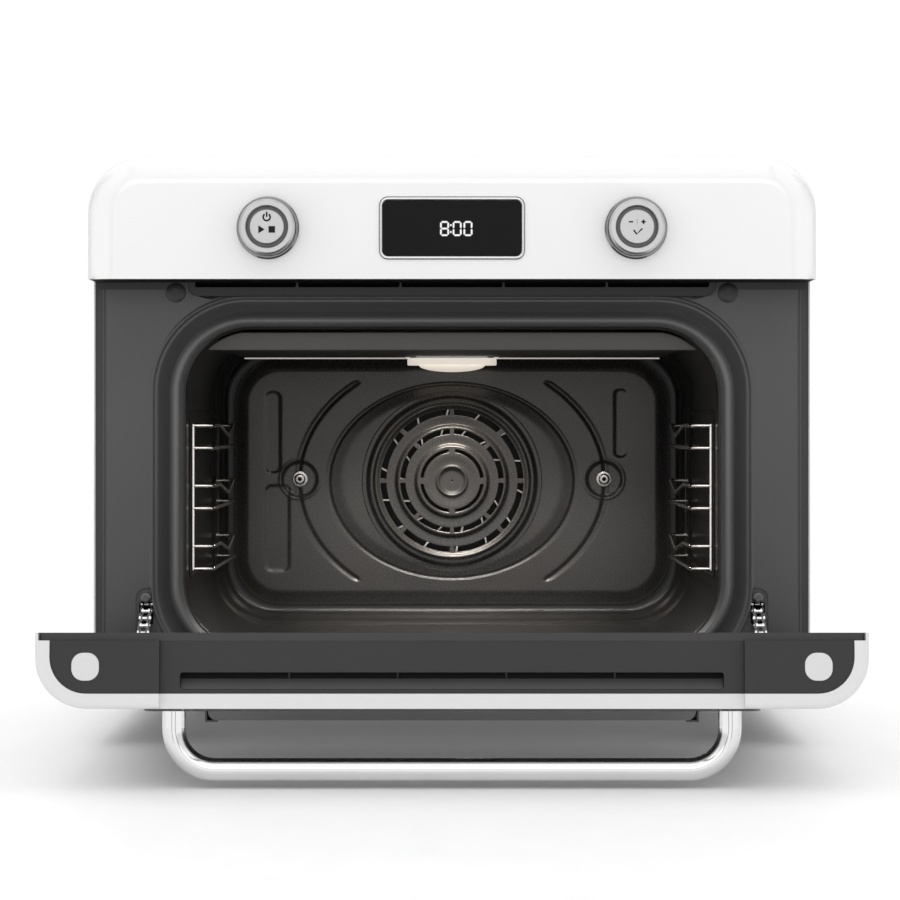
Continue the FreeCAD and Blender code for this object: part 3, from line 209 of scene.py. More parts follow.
class Nodes:
    """A material's node tree, with short ways to add and join its nodes."""

    def __init__(self, name):
        self.material = bpy.data.materials.new(name)
        self.material.use_nodes = True
        self.tree = self.material.node_tree
        self.surface = self.tree.nodes["Principled BSDF"]
        self.place = self.tree.nodes.new("ShaderNodeTexCoord").outputs["Object"]

    def add(self, kind, inputs=(), **settings):
        """A new node. inputs maps socket names to values or to other nodes' outputs."""
        node = self.tree.nodes.new(kind)
        for name, value in settings.items():
            setattr(node, name, value)
        for name, value in dict(inputs).items():
            self.put(node.inputs[name], value)
        return node

    def put(self, socket, value):
        """Sets a socket, or links another node's output to it."""
        if isinstance(value, bpy.types.NodeSocket):
            self.tree.links.new(value, socket)
        else:
            socket.default_value = value

    def set(self, **values):
        """Sets the surface's sockets, such as Base_Color."""
        for name, value in values.items():
            self.put(self.surface.inputs[name.replace("_", " ")], value)
        return self

    def noise(self, scale, detail):
        """A noise value from 0 to 1 over the object. The scale is in waves per metre."""
        inputs = {"Vector": self.place, "Scale": scale, "Detail": detail}
        return self.add("ShaderNodeTexNoise", inputs).outputs["Fac"]

    def spread(self, value, low, high):
        """Maps a noise's middle range on to low ... high."""
        ranged = self.add("ShaderNodeMapRange", {"Value": value, "From Min": 0.3, "From Max": 0.7,
                                                 "To Min": low, "To Max": high})
        return ranged.outputs["Result"]

    def mix(self, share, first, second):
        """A colour between two, by a share from 0 to 1."""
        node = self.add("ShaderNodeMix", data_type="RGBA")
        self.put(node.inputs["Factor"], share)
        self.put(node.inputs["A"], first)
        self.put(node.inputs["B"], second)
        return node.outputs["Result"]

    def bump(self, height, strength, distance):
        """Roughens the surface by a height, over a distance in metres."""
        node = self.add("ShaderNodeBump", {"Height": height, "Strength": strength, "Distance": distance})
        self.put(self.surface.inputs["Normal"], node.outputs["Normal"])
        return self


def colour(value, tint=(1, 1, 1)):
    """A grey, or a tinted grey, as a colour."""
    return tuple(value * part for part in tint) + (1,)


def finish_material(name, base, rough, tint=(1, 1, 1), vary=0.06, grain=900, bump=0.05, depth=0.00005,
                    **extra):
    """A material whose colour, roughness and surface all vary a little over the object.
    base is its brightness, grain the waves per metre of its fine noise, and depth that noise's
    height in metres. extra holds other sockets of the surface."""
    wide_scale, rough_vary = 14, 0.12
    nodes = Nodes(name)
    wide = nodes.noise(wide_scale, 2)
    fine = nodes.noise(grain, 4)
    dark, light = colour(base * (1 - vary), tint), colour(base * (1 + vary), tint)
    gloss = nodes.spread(fine, rough * (1 - rough_vary), rough * (1 + rough_vary))
    nodes.set(Base_Color=nodes.mix(nodes.spread(wide, 0, 1), dark, light), Roughness=gloss)
    nodes.set(**extra)
    return nodes.bump(fine, bump, depth).material


WARM = (1.0, 0.94, 0.89)
COOL = (0.94, 0.98, 1.0)
LOOKS = {
    "white_enamel": dict(base=0.87, rough=0.16, vary=0.004, grain=160, bump=0.02, Coat_Weight=0.6,
                         Coat_Roughness=0.03),
    # painted shade: the casing's and rear cover's white, a darker copy of the white enamel
    "shaded_casing_white": dict(base=0.7, rough=0.2, vary=0.004, grain=160, bump=0.02, Coat_Weight=0.3,
                         Coat_Roughness=0.05),
    # painted shade: the door shell's white, a darker copy of the white enamel
    "shaded_door_white": dict(base=0.68, rough=0.16, vary=0.004, grain=160, bump=0.02, Coat_Weight=0.5,
                       Coat_Roughness=0.03),
    "dark_enamel": dict(base=0.061, rough=0.4, grain=1400, bump=0.08, vary=0.05),
    # the door frame's own darker enamel, also used as painted shade in the front frame's groove
    "door_enamel_and_groove_shade": dict(base=0.024, rough=0.4, grain=1400, bump=0.08, vary=0.05),
    "cavity_enamel": dict(base=0.015, rough=0.33, tint=WARM, grain=1100, bump=0.02, vary=0.1,
                          Specular_IOR_Level=0.32),
    "baffle_enamel": dict(base=0.055, rough=0.27, tint=WARM, grain=1200, bump=0.03, vary=0.08,
                          Metallic=0.45),
    "ceiling_enamel": dict(base=0.07, rough=0.5, tint=WARM, grain=1200, bump=0.05),
    # painted light: a warm glow on the ceiling panel's rear lip, which is no lamp
    "painted_glow": dict(base=0.8, rough=0.4, tint=WARM, grain=900, bump=0.03,
                     Emission_Color=colour(1.0, WARM), Emission_Strength=0.35),
    # painted highlight: the fan blades' glints, glowing a little though they are no lamp
    "blade_glint": dict(base=0.8, rough=0.3, tint=WARM, grain=900, bump=0.03,
                       Emission_Color=colour(1.0, WARM), Emission_Strength=0.2),
    "rack_chrome": dict(base=0.85, rough=0.18, tint=WARM, vary=0.03, grain=700, bump=0.02, Metallic=1.0),
    "silicone": dict(base=0.115, rough=0.5, grain=700, bump=0.1),
    # the door bumpers' black rubber, also used as painted shadow under the hood and painted shade on the cap
    # slot's ribs
    "black_rubber_and_shade": dict(base=0.012, rough=0.4, grain=700, bump=0.1),
    "foot_rubber": dict(base=0.03, rough=0.7, grain=500, bump=0.2),
    "wool": dict(base=0.62, rough=0.95, tint=(1.0, 0.96, 0.8), grain=260, bump=0.9, depth=0.002, vary=0.15),
    "plated_steel": dict(base=0.62, rough=0.32, vary=0.08, grain=500, bump=0.05, Metallic=1.0),
    "shaded_steel": dict(base=0.13, rough=0.4, vary=0.05, grain=500, bump=0.05, Metallic=0.6),
    "dark_screw": dict(base=0.12, rough=0.3, vary=0.05, grain=500, bump=0.05, Metallic=0.8),
    "bright_steel": dict(base=0.72, rough=0.2, tint=WARM, grain=600, bump=0.04, Metallic=1.0),
    # painted shade: the fan and its shaft darkened so the chamber seen through the dish's slots reads black
    "shaded_fan_steel": dict(base=0.02, rough=0.35, tint=WARM, grain=600, bump=0.04, Metallic=0.6),
    "tray_steel": dict(base=0.3, rough=0.4, vary=0.05, grain=500, bump=0.05, Metallic=0.6),
    "chrome": dict(base=0.74, rough=0.09, vary=0.02, grain=300, bump=0.015, Metallic=1.0),
    "bezel_chrome": dict(base=0.66, rough=0.2, vary=0.02, grain=300, bump=0.015, Metallic=1.0),
    "screw_steel": dict(base=0.5, rough=0.25, tint=WARM, grain=600, bump=0.04, Metallic=1.0),
    # painted shade: a darker copy of the chrome for the display's and knobs' bezels
    "shaded_chrome": dict(base=0.24, rough=0.14, vary=0.02, grain=300, bump=0.015, Metallic=1.0),
    "control_aluminium": dict(base=0.5, rough=0.34, vary=0.03, grain=1500, bump=0.06, Metallic=1.0),
    "display_black": dict(base=0.006, rough=0.12, vary=0.02, grain=60, bump=0.01,
                          Specular_IOR_Level=0.1),
    "door_glass": dict(base=0.25, rough=0.03, vary=0.01, grain=20, bump=0.004, Transmission_Weight=0.9,
                       IOR=1.5),
    "dark_plastic": dict(base=0.024, rough=0.45, grain=1300, bump=0.12, vary=0.04,
                         Specular_IOR_Level=0.35),
    # black for the door glass's printed border, and painted shade in the baffle screws' sockets, under the
    # hood, behind the vents and in the cap's slot
    "black_and_painted_shade": dict(base=0.004, rough=0.6, grain=900, bump=0.05, Specular_IOR_Level=0.1),
    # painted shade: the grey at the bottom of the gap round each knob's button
    "groove_grey": dict(base=0.15, rough=0.5, grain=900, bump=0.05),
    "symbol_ink": dict(base=0.008, rough=0.6, grain=900, bump=0.02, Specular_IOR_Level=0.2),
    "faint_ink": dict(base=0.3, rough=0.6, grain=900, bump=0.02),
    # painted light: a lighter copy of the cap's dark plastic for the lit side of its slot
    "painted_light_slot_grey": dict(base=0.05, rough=0.5, grain=1300, bump=0.12, vary=0.04),
    "white_plastic": dict(base=0.65, rough=0.3, grain=700, bump=0.05, vary=0.01),
    "tank_plastic": dict(base=0.55, rough=0.14, tint=COOL, vary=0.02, grain=80, bump=0.02,
                         Transmission_Weight=0.75, IOR=1.49),
    "hose": dict(base=0.6, rough=0.35, grain=300, bump=0.08, vary=0.05),
    "board": dict(base=0.1, rough=0.4, tint=(0.25, 1.0, 0.45), grain=420, bump=0.2, vary=0.25),
}
MATERIALS = {name: finish_material(name, **look) for name, look in LOOKS.items()}
# CAD nodes that look different from the rest of their slot. The darker whites, the bezels' darker chrome,
# the darker fan steel and the base pan's and blower's shaded steel are painted shade.
OWN_LOOKS = {"display_bezel": "shaded_chrome", "knob_bezels": "shaded_chrome", "base_pan": "shaded_steel",
             "drip_tray": "tray_steel", "blower_housing": "shaded_steel", "frame_screws": "dark_screw",
             "convection_fan": "shaded_fan_steel", "fan_shaft": "shaded_fan_steel", "door_inner_frame": "door_enamel_and_groove_shade",
             "door_shell": "shaded_door_white", "door_bumpers": "black_rubber_and_shade", "outer_casing": "shaded_casing_white",
             "rear_cover": "shaded_casing_white"}


def lamp_glass():
    """Frosted glass lit from behind by the lamp."""
    nodes = Nodes("lamp_glass")
    cells = nodes.noise(420, 2)
    glow = nodes.mix(nodes.spread(cells, 0, 1), (1.0, 0.86, 0.7, 1), (1.0, 0.94, 0.84, 1))
    nodes.set(Base_Color=(0.9, 0.86, 0.8, 1), Roughness=0.25, Emission_Color=glow, Emission_Strength=0.58)
    return nodes.bump(cells, 0.3, 0.0004).material


def digit_light():
    """The clock's lit digits."""
    nodes = Nodes("digit_light")
    cells = nodes.noise(900, 2)
    glow = nodes.mix(nodes.spread(cells, 0, 1), (0.86, 0.87, 0.88, 1), (0.95, 0.95, 0.95, 1))
    return nodes.set(Base_Color=(0.1, 0.1, 0.1, 1), Emission_Color=glow, Emission_Strength=0.85).material


MATERIALS["lamp_glass"] = lamp_glass()
MATERIALS["digit_light"] = digit_light()


def dress_cad():
    """Gives every CAD node the material of the record's slot, or its own look."""
    for name, node in frame["nodes"].items():
        for slot in node.material_slots:
            record_slot = slot.material.name.split(".")[0]
            slot.material = MATERIALS[OWN_LOOKS.get(name, record_slot)]


# ---------------------------------------------------------------- the oven's mouth and cavity

# Everything round the cavity follows one family of round-cornered frames: (half width, half height,
# corner radius) of the fan shaft, chamber, fan baffle, throat, cavity and mouth, from the inside out.
FAMILY = ((9, 9, 9), (158, 85, 30), (165, 91.5, 33), (177, 103.5, 40), (184, 110, 45), (206, 131, 64),
          (212, 137, 70))


def between(value, places, sizes):
    """Reads a line through the given points."""
    return float(np.interp(value, places, sizes))


def ring(half, y):
    """A loop of that family, at a half width and a depth."""
    halves, rises, corners = zip(*FAMILY)
    rise, corner = between(half, halves, rises), between(half, halves, corners)
    outline = round_rectangle(-half, half, CAVITY_Z - rise, CAVITY_Z + rise, corner, CORNER_STEPS)
    return [mm(x, y, z) for x, z in outline]


def frame_ring(inset, y):
    """A nearly square loop inside the frame's outer edge, with as many points as ring()."""
    half, low, high = FRAME_HALF - inset, FRAME_LOW + inset, FRAME_HIGH - inset
    return [mm(x, y, z) for x, z in round_rectangle(-half, half, low, high, 1.0, CORNER_STEPS)]


def front_frame():
    """The enamelled frame: a grooved rim, a flat face and the rolled lip round the mouth. The rim's
    profile is given by (inset, depth), and the lip's and the back's by (half width, depth)."""
    depth, sheet, seat = 13, 1.2, 3.2
    rim = ((0, depth), (0, 0.9), (0.3, 0.5), (0.6, 0.7), (0.7, 1.4), (4.3, 1.4), (4.5, 0.4), (5.0, 0.0),
           (5.6, 0.2), (6.1, 1.0), (6.7, 1.0), (7.2, 0.3), (7.6, 0.3))
    lip = ((208.6, 0.3), (208.0, 0.0), (207.5, -0.6), (206.7, -0.9), (205.9, -0.6), (205.5, 0.3),
           (205.0, 1.1), (204.3, 1.3), (203.6, 1.2), (203.0, 1.6), (201.6, 3.2), (199.8, 5.2),
           (197.9, 7.0), (195.9, 8.4), (194.4, 8.8))
    back = ((194.4, 10), (209.8, 10), (209.8, seat))
    loops = [frame_ring(inset, y) for inset, y in rim]
    loops += [ring(half, y) for half, y in lip + back]
    loops += [frame_ring(sheet, y) for y in (seat, depth)]
    frame_piece = loft("front_frame_piece", loops, closed=True, angle=50)
    cutters = [eyebrow()] + [vent(x) for x in VENT_PLACES]
    for side in (-1, 1):
        cutters += chain_openings(side)
    subtract(frame_piece, *cutters)
    smooth(frame_piece, 50)
    finish_piece(frame_piece, "cabinet", MATERIALS["dark_enamel"], "dark_enamel", "front_frame")


def frame_groove():
    """The darker lining of the groove along the frame's edge: painted shade in the groove."""
    profile = ((0.75, 1.4), (0.75, 1.1), (4.25, 1.1), (4.25, 1.4))
    piece = loft("frame_groove", [frame_ring(inset, y) for inset, y in profile], closed=True)
    finish_piece(piece, "cabinet", MATERIALS["door_enamel_and_groove_shade"], "dark_enamel")


def eyebrow():
    """The shallow recess under the hood that the vents open into."""
    return block("eyebrow", round_rectangle(-182.6, 182.6, 308.6, 326, (8, 1, 1, 8)), -2, 1.9)


def vent(x):
    """One of the slots that the cooling air blows out of."""
    return block("vent", round_rectangle(x - VENT_HALF, x + VENT_HALF, VENT_LOW, VENT_HIGH, 1.2), -2, 15)


def hood_shadow_strips():
    """Painted shadow under the hood along the frame's top: a black inlay round the vents, and a flat black
    strip on each side.
    """
    inlay = block("vent_shadow_inlay", round_rectangle(-182.4, 182.4, 308.8, 325, (7.8, 1, 1, 7.8)), 1.7, 1.95)
    subtract(inlay, *(vent(x) for x in VENT_PLACES))
    strips = [block(f"frame_shadow_strip_{side}", round_rectangle(low, high, 313.2, 318.3, 0.5), -0.2, 0.1)
              for side, low, high in (("left", -243.6, -183.2), ("right", 183.2, 243.6))]
    for piece in (smooth(inlay), *strips):
        finish_piece(piece, "cabinet", MATERIALS["black_rubber_and_shade"], "dark_enamel")


def chain_openings(side):
    """The pocket round a chain with its slot, and the slot of the hinge below."""
    chain, hinge, low, high = side * CHAIN_X, side * HINGE_X, 72, 107.6
    if side > 0:
        pocket = round_rectangle(chain - 4, chain + 7, low, high, (2, 7, 2, 2))
    else:
        pocket = round_rectangle(chain - 7, chain + 4, low, high, (2, 2, 7, 2))
    return [block("pocket", pocket, -2, 1.9),
            block("chain_slot", round_rectangle(chain - 4.9, chain + 4.9, 82.4, 98.0, 1.5), -2, 15),
            block("hinge_slot", round_rectangle(hinge - 2.6, hinge + 2.6, 45, 66, 1), -2, 15)]


def gasket():
    """The silicone seal: a slope up to a round crest, then down to the cavity."""
    profile = ((195.4, 8.7), (195.0, 7.4), (194.3, 5.2), (193.5, 3.0), (192.7, 1.1), (191.9, -0.3),
               (191.0, -1.1), (190.1, -1.5), (189.2, -1.4), (188.4, -0.8), (187.7, 0.4), (187.1, 2.4),
               (186.6, 5.0), (185.8, 8.6), (185.8, 8.9), (195.4, 8.9))
    piece = loft("door_gasket_piece", [ring(half, y) for half, y in profile], closed=True, angle=80)
    finish_piece(piece, "cabinet", MATERIALS["silicone"], "silicone", "door_gasket")


def cavity():
    """The enamelled cavity: a rolled front edge, a pressed rib, the step to the throat and the
    fan's chamber. The sheet goes out to the back and returns on its outside."""
    inside = ((187.0, 9.3), (185.6, 9.0), (184.5, 9.6), (184.0, 11.0), (184.0, 60), (184.0, 231),
              (183.8, 233.5), (183.0, 235.6), (181.8, 237.0), (181.2, 239), (181.0, 242), (181.0, 259),
              (180.7, 262.5), (179.8, 265.2), (178.2, 267.0), (177.3, 269), (177.0, 272), (177.0, 280),
              (176.4, 283), (174.6, 284.7), (172.0, 285), (160.0, 285), (158.4, 285.6), (158.0, 288),
              (158.0, 319), (157, 320), (9.0, 320))
    outside = ((9.0, 321.2), (159.2, 321.2), (159.2, 287), (178.2, 286.4), (178.2, 272), (179, 269),
               (182.2, 264), (182.2, 240), (185.2, 234), (185.2, 60), (185.2, 11), (187.0, 10.4))
    loops = [ring(half, y) for half, y in inside + outside]
    piece = loft("cavity_liner_piece", loops, closed=True, angle=40)
    finish_piece(piece, "cabinet", MATERIALS["cavity_enamel"], "dark_enamel", "cavity_liner")
    for side in (-1, 1):
        side_recess(side)


def side_recess(side):
    """The flat pressed panel that a rack hangs in front of, as a raised frame on the side wall."""
    wall, proud, front, back, low, high = side * 184.0, side * 183.2, 30, 262, 112, 231
    loops = []
    for inset, x, corner in ((0, wall, 12), (1, proud, 11), (2, proud, 10.5), (3, wall, 10)):
        outline = round_rectangle(front + inset, back - inset, low + inset, high - inset, corner)
        loops.append([mm(x, y, z) for y, z in outline])
    piece = loft(f"wall_press_{'left' if side < 0 else 'right'}", loops, closed=True, angle=60)
    finish_piece(piece, "cabinet", MATERIALS["cavity_enamel"], "dark_enamel")


# ---------------------------------------------------------------- fan baffle

BAFFLE_FACE = 281.0
BAFFLE_EDGE = (170.5, 97, 37)
DISH = 70.0
SHEET = 1.0
SCREW_X, SCREW_RISE = 119, 1.2


def ramp(value, start, end):
    """0 before start, 1 after end and a smooth rise between, for arrays too."""
    t = np.clip((value - start) / (end - start), 0, 1)
    return t * t * (3 - 2 * t)


def ridge(distance, width):
    """A rounded ridge, 1 on its line and 0 beyond half its width."""
    t = np.clip(np.abs(distance) * 2 / width, 0, 1)
    return (1 - t * t) ** 2


def inset_of(x, z, half, rise, corner):
    """How far inside a round-cornered frame each point is."""
    qx, qz = np.abs(x) - half + corner, np.abs(z) - rise + corner
    outside = np.hypot(np.maximum(qx, 0), np.maximum(qz, 0))
    return corner - outside - np.minimum(np.maximum(qx, qz), 0)


def press(x, z):
    """How deep the pressed sheet's face lies at each point, in millimetres from the cavity's axis."""
    y = np.full_like(x, BAFFLE_FACE)
    y += 3.6 * (1 - ramp(inset_of(x, z, *BAFFLE_EDGE), 0.0, 12.0))
    ellipse = np.hypot(x / 96.6, z / 76.0)
    y += 0.8 * ridge((ellipse - 1) * 86, 4.5)
    y -= 1.4 * ramp(-ellipse, -1.0, -0.86)
    curve = np.hypot(x / 120.7, z / 97.8)
    y += 1.3 * ridge((curve - 1) * 108, 6) * ramp(np.abs(x), 70, 76) * ramp(-np.abs(z), -80, -76)
    screw = np.hypot(np.abs(x) - SCREW_X, z - SCREW_RISE)
    y += 2.2 * ramp(-screw, -14.6, -12.2) - 0.5 * ridge(screw - 15.2, 3)
    y += 1.0 * ramp(side_panels(x, z), 0.0, 2.4)
    return y - dish_rise(np.hypot(x, z))


def side_panels(x, z):
    """How far inside the sunken panels beside the screws each point is."""
    left_low = inset_of(x + 136.4, z + 37, 10.4, 34.5, 6)
    left_high = inset_of(x + 139.9, z - 38, 6.9, 32.6, 6)
    right = inset_of(x - 131.8, z - 45, 5.8, 27.5, 5)
    return np.maximum(np.maximum(left_low, left_high), right)


# The dish's round steps, from the outside in: (height, outside radius, inside radius).
DISH_STEPS = ((3.6, 67.0, 63.6), (2.0, 61.8, 59.6), (-2.6, 59.0, 56.4), (-0.5, 51.0, 45.0),
              (3.2, 44.6, 41.8), (-0.5, 36.0, 30.0), (3.0, 29.4, 26.8), (-0.6, 21.0, 14.0),
              (-0.5, 9.6, 7.6))


def dish_rise(r):
    """How far the round dish stands up from the sheet, by the distance from its middle."""
    steps = sum(height * ramp(-r, -outside, -inside) for height, outside, inside in DISH_STEPS)
    return steps + ridge(r - 11.3, 3.4)


# Each ring of slots in the dish: (inside radius, outside radius, number of ribs, rib width).
SLOT_RINGS = ((51.4, 55.7, 8, 4.0), (36.5, 40.3, 8, 3.4), (22.2, 24.6, 4, 5.0))


def in_slot(r, angle):
    """Whether the sheet is cut away at a radius and an angle."""
    for inside, outside, ribs, width in SLOT_RINGS:
        if inside < r < outside:
            share = (angle * ribs / 360 + 0.5) % 1 - 0.5
            return abs(share) * 2 * math.pi * r / ribs > width / 2
    return False


def sheet_mesh(name, radii, turns, skip=None):
    """The pressed sheet over rings of points. radii(angle) gives a ray's distances from the middle, and
    skip(radius, angle) says where the sheet is cut away."""
    angles = np.arange(turns) * 360 / turns
    rays = np.array([radii(a) for a in angles])
    x = rays * np.cos(np.radians(angles))[:, None]
    z = rays * np.sin(np.radians(angles))[:, None]
    y = press(x, z)
    count = rays.shape[1]
    points = [mm(px, py, CAVITY_Z + pz) for px, py, pz in zip(x.ravel(), y.ravel(), z.ravel())]
    faces = []
    for i in range(turns):
        j = (i + 1) % turns
        for k in range(count - 1):
            middle = (rays[i, k] + rays[i, k + 1]) / 2
            if skip is None or not skip(middle, angles[i] + 180 / turns):
                faces.append((i * count + k, i * count + k + 1, j * count + k + 1, j * count + k))
    piece = new_piece(name, points, faces, angle=60)
    solid = piece.modifiers.new("sheet", "SOLIDIFY")
    solid.thickness = SHEET * MM
    solid.offset = 1 if piece.data.polygons[0].normal.y > 0 else -1
    return piece


def baffle_ray(angle):
    """A ray's distances from the dish to the sheet's edge, closer together near the edge."""
    x, z = math.cos(math.radians(angle)), math.sin(math.radians(angle))
    low, high = DISH, 190.0
    for _ in range(30):
        middle = (low + high) / 2
        inside = inset_of(np.array(middle * x), np.array(middle * z), *BAFFLE_EDGE) > 0
        low, high = (middle, high) if inside else (low, middle)
    knee = low - 14
    if knee < DISH + 2:
        knee = DISH + (low - DISH) * 0.6
    return np.concatenate([np.linspace(DISH, knee, 92, endpoint=False), np.linspace(knee, low, 18)])


def fan_baffle():
    """The pressed sheet over the fan: the dish, the sheet round it and the dish's middle."""
    first, pitch = 0.6, 0.75
    cuts = sorted({edge for inside, outside, *_ in SLOT_RINGS for edge in (inside, outside)})
    spots = sorted(set(np.round(np.arange(first, DISH + 0.1, pitch), 3)) | set(cuts))
    spots = [r for r in spots if r in cuts or min(abs(r - c) for c in cuts) > 0.25] + [DISH]
    dish = sheet_mesh("fan_baffle_dish", lambda angle: spots, 720, in_slot)
    sheet = sheet_mesh("fan_baffle_sheet", baffle_ray, 900)
    middle = [(float(press(np.array(r), np.array(0.0))), r) for r in (first, 0.0)]
    cap = turned("fan_baffle_middle", middle, (0, 0, CAVITY_Z))
    for piece in (dish, sheet, cap):
        finish_piece(piece, "cabinet", MATERIALS["baffle_enamel"], "baffle_enamel")
    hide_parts("fan_baffle")


def baffle_screws():
    """The baffle's two round-headed screws with their washers, and a black disc in each socket as painted
    shade.
    """
    head = ((283.6, 6.2), (282.5, 6.2), (282.2, 5.9), (282.1, 4.5), (280.9, 4.4), (280.2, 3.9), (279.8, 3.0),
            (279.8, 2.1), (281.4, 1.9), (281.4, 0))
    recess = ((281.35, 1.8), (281.2, 1.8), (281.2, 0))
    for side, x in (("left", -SCREW_X), ("right", SCREW_X)):
        middle = (x, 0, CAVITY_Z + SCREW_RISE)
        screw = turned(f"baffle_screw_{side}", head, middle, angle=50)
        finish_piece(screw, "cabinet", MATERIALS["screw_steel"], "plated_steel")
        socket = turned(f"baffle_socket_{side}", recess, middle, count=6)
        finish_piece(socket, "cabinet", MATERIALS["black_and_painted_shade"], "plated_steel")
    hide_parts("baffle_screws")


def blade_glints():
    """Painted glints: thin bright strips that glow a little on the front edges of the fan's slanted blades.
    """
    count, root, reach, slant, wide, face, thick = 14, 36, 24, 28, 1.2, 293.9, 0.15
    box_faces = ((0, 1, 2, 3), (4, 5, 6, 7), (0, 1, 5, 4), (1, 2, 6, 5), (2, 3, 7, 6), (3, 0, 4, 7))
    points, faces = [], []
    for i in range(count):
        turn, lean = math.radians(360 / count * i), math.radians(360 / count * i + slant)
        start = Vector((math.cos(turn), -math.sin(turn))) * root
        along = Vector((math.cos(lean), -math.sin(lean))) * reach
        across = Vector((math.sin(lean), math.cos(lean))) * wide
        corners = [start, start + along, start + along + across, start + across]
        base = len(points)
        points += [mm(x, y, CAVITY_Z + z) for y in (face, face + thick) for x, z in corners]
        faces += [tuple(base + k for k in face_corners) for face_corners in box_faces]
    finish_piece(new_piece("fan_blade_glints", points, faces), "fan", MATERIALS["blade_glint"], "bright_steel")


# ---------------------------------------------------------------- ceiling and racks

def ceiling_lip():
    """The panel's rounded front lip. Its ends follow the liner's corners."""
    low, high, corner_x, corner_z, reach, half = 272.0, 284.6, 139.0, 241.4, 44.0, 160
    middle, rise = (low + high) / 2, (high - low) / 2
    heights = [low + (high - low) * i / 8 for i in range(9)]
    ends = [(corner_x + math.sqrt(reach ** 2 - (z - corner_z) ** 2), z) for z in heights]
    outline = [(-x, z) for x, z in ends] + [(x, z) for x, z in reversed(ends)]
    loops = [[mm(x * (1 - inset / half), y, middle + (z - middle) * (1 - inset / rise)) for x, z in outline]
             for inset, y in ((0.0, 24.2), (0.0, 22.6), (0.25, 22.1), (0.8, 21.8))]
    return loft("ceiling_lip", loops, caps=(True, True), angle=60)


def ceiling_panel():
    """The panel under the grill: its front lip, the sheet with the lamp's hole, and its rear edge, which
    glows with painted light.
    """
    half, front, back, lamp_half, lamp_front, lamp_back = 161, 24, 264, 36, 212, 264.6
    lip = ceiling_lip()
    outline = [(-half, front), (half, front), (half, back), (-half, back)]
    sheet = level_plate("ceiling_sheet", outline, 272.2, 273.4)
    rear_lip = block("ceiling_rear_lip", bar(0, 272, 2 * half, 1.5), 264, 265.4)
    hole = [(-lamp_half, lamp_front), (lamp_half, lamp_front),
            (lamp_half, lamp_back), (-lamp_half, lamp_back)]
    subtract(sheet, level_plate("lamp_hole", hole, 270, 276))
    for piece, look in ((lip, "ceiling_enamel"), (sheet, "ceiling_enamel"), (rear_lip, "painted_glow")):
        finish_piece(piece, "cabinet", MATERIALS[look], "baffle_enamel")
    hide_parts("ceiling_panel")


def lamp_bulge():
    """The lit bulge under the lamp's flat glass, pointed at its ends."""
    half, width, hang, top, middle_y, count = 26.0, 11.0, 5.6, 266.2, 238.0, 24
    loops = []
    for i in range(count + 1):
        share = -0.999 + 1.998 * i / count
        swell = math.sqrt(1 - share * share)
        arc = [math.pi * k / 12 for k in range(13)]
        loops.append([mm(share * half, middle_y - width * swell * math.cos(a),
                         top - hang * swell * math.sin(a)) for a in arc])
    piece = loft("lamp_bulge", loops, caps=(True, True), angle=60)
    finish_piece(piece, "cabinet", MATERIALS["lamp_glass"], "lamp_glass")


def bent_path(corners, bend, steps=6):
    """A line through corners with each one rounded."""
    corners = [Vector(c) for c in corners]
    path = [corners[0]]
    for before, corner, after in zip(corners, corners[1:], corners[2:]):
        into, out = (corner - before).normalized(), (after - corner).normalized()
        turn = into.angle(out)
        room = min((corner - before).length, (after - corner).length) * 0.45
        back = min(bend * math.tan(turn / 2), room)
        start, end = corner - into * back, corner + out * back
        for i in range(steps + 1):
            t = i / steps
            path.append(start * (1 - t) ** 2 + corner * 2 * t * (1 - t) + end * t ** 2)
    return path + [corners[-1]]


def wire(name, lines, radius, resolution=5):
    """Round wires along lines of points in metres, as one curve."""
    curve = bpy.data.curves.new(name, "CURVE")
    curve.dimensions = "3D"
    curve.bevel_depth = radius * MM
    curve.bevel_resolution = resolution
    curve.use_fill_caps = True
    for line in lines:
        spline = curve.splines.new("POLY")
        spline.points.add(len(line) - 1)
        for point, place in zip(spline.points, line):
            point.co = (*place, 1)
        spline.use_smooth = True
    obj = bpy.data.objects.new(name, curve)
    SCENE.collection.objects.link(obj)
    return obj


def rail(post, inner, front, back, z, sag):
    """A rail's line from the front post to the rear one, with a long shallow dip if it sags."""
    route = [mm(post, front, z), mm(inner, front, z)]
    if sag:
        route += [mm(inner, 100, z), mm(inner, 177, z - sag), mm(inner, 228, z)]
    route += [mm(inner, back, z), mm(post, back, z)]
    return bent_path(route, 0.006)


def rack(side, name):
    """A wire rack: two posts and three pairs of rails. Each pair's upper rail dips."""
    post, inner, front, back, top, radius = side * 182, side * 167.5, 40, 255, 219.6, 1.45
    pitch, gap, dip, levels = 42.4, 15.8, 7.4, 3
    low = top - (levels - 1) * pitch - gap
    lines = [[mm(post, y, low - 1), mm(post, y, top + 1)] for y in (front, back)]
    for level in range(levels):
        for drop, sag in ((0, dip), (gap, 0)):
            lines.append(rail(post, inner, front, back, top - level * pitch - drop, sag))
    piece = wire(f"{name}_piece", lines, radius)
    finish_piece(piece, "cabinet", MATERIALS["rack_chrome"], "chrome", name)


# ---------------------------------------------------------------- controls

BUTTON_FACE = -60.65
GLASS_FACE = -45.75
CONTROL_X, CONTROL_Z = 124.0, 352.8


def print_shape(name, outlines, face, body, look, slot, thick=0.12):
    """Flat printed shapes on a face that looks forward. Each outline is a list of (x, z)."""
    points, faces = [], []
    for outline in outlines:
        base, count = len(points), len(outline)
        points += [mm(x, y, z) for y in (face - thick, face) for x, z in outline]
        faces.append(tuple(base + i for i in range(count)))
        faces.append(tuple(base + count + i for i in range(count)))
        faces += [(base + i, base + (i + 1) % count, base + count + (i + 1) % count, base + count + i)
                  for i in range(count)]
    piece = new_piece(name, points, faces)
    return finish_piece(piece, body, MATERIALS[look], slot)


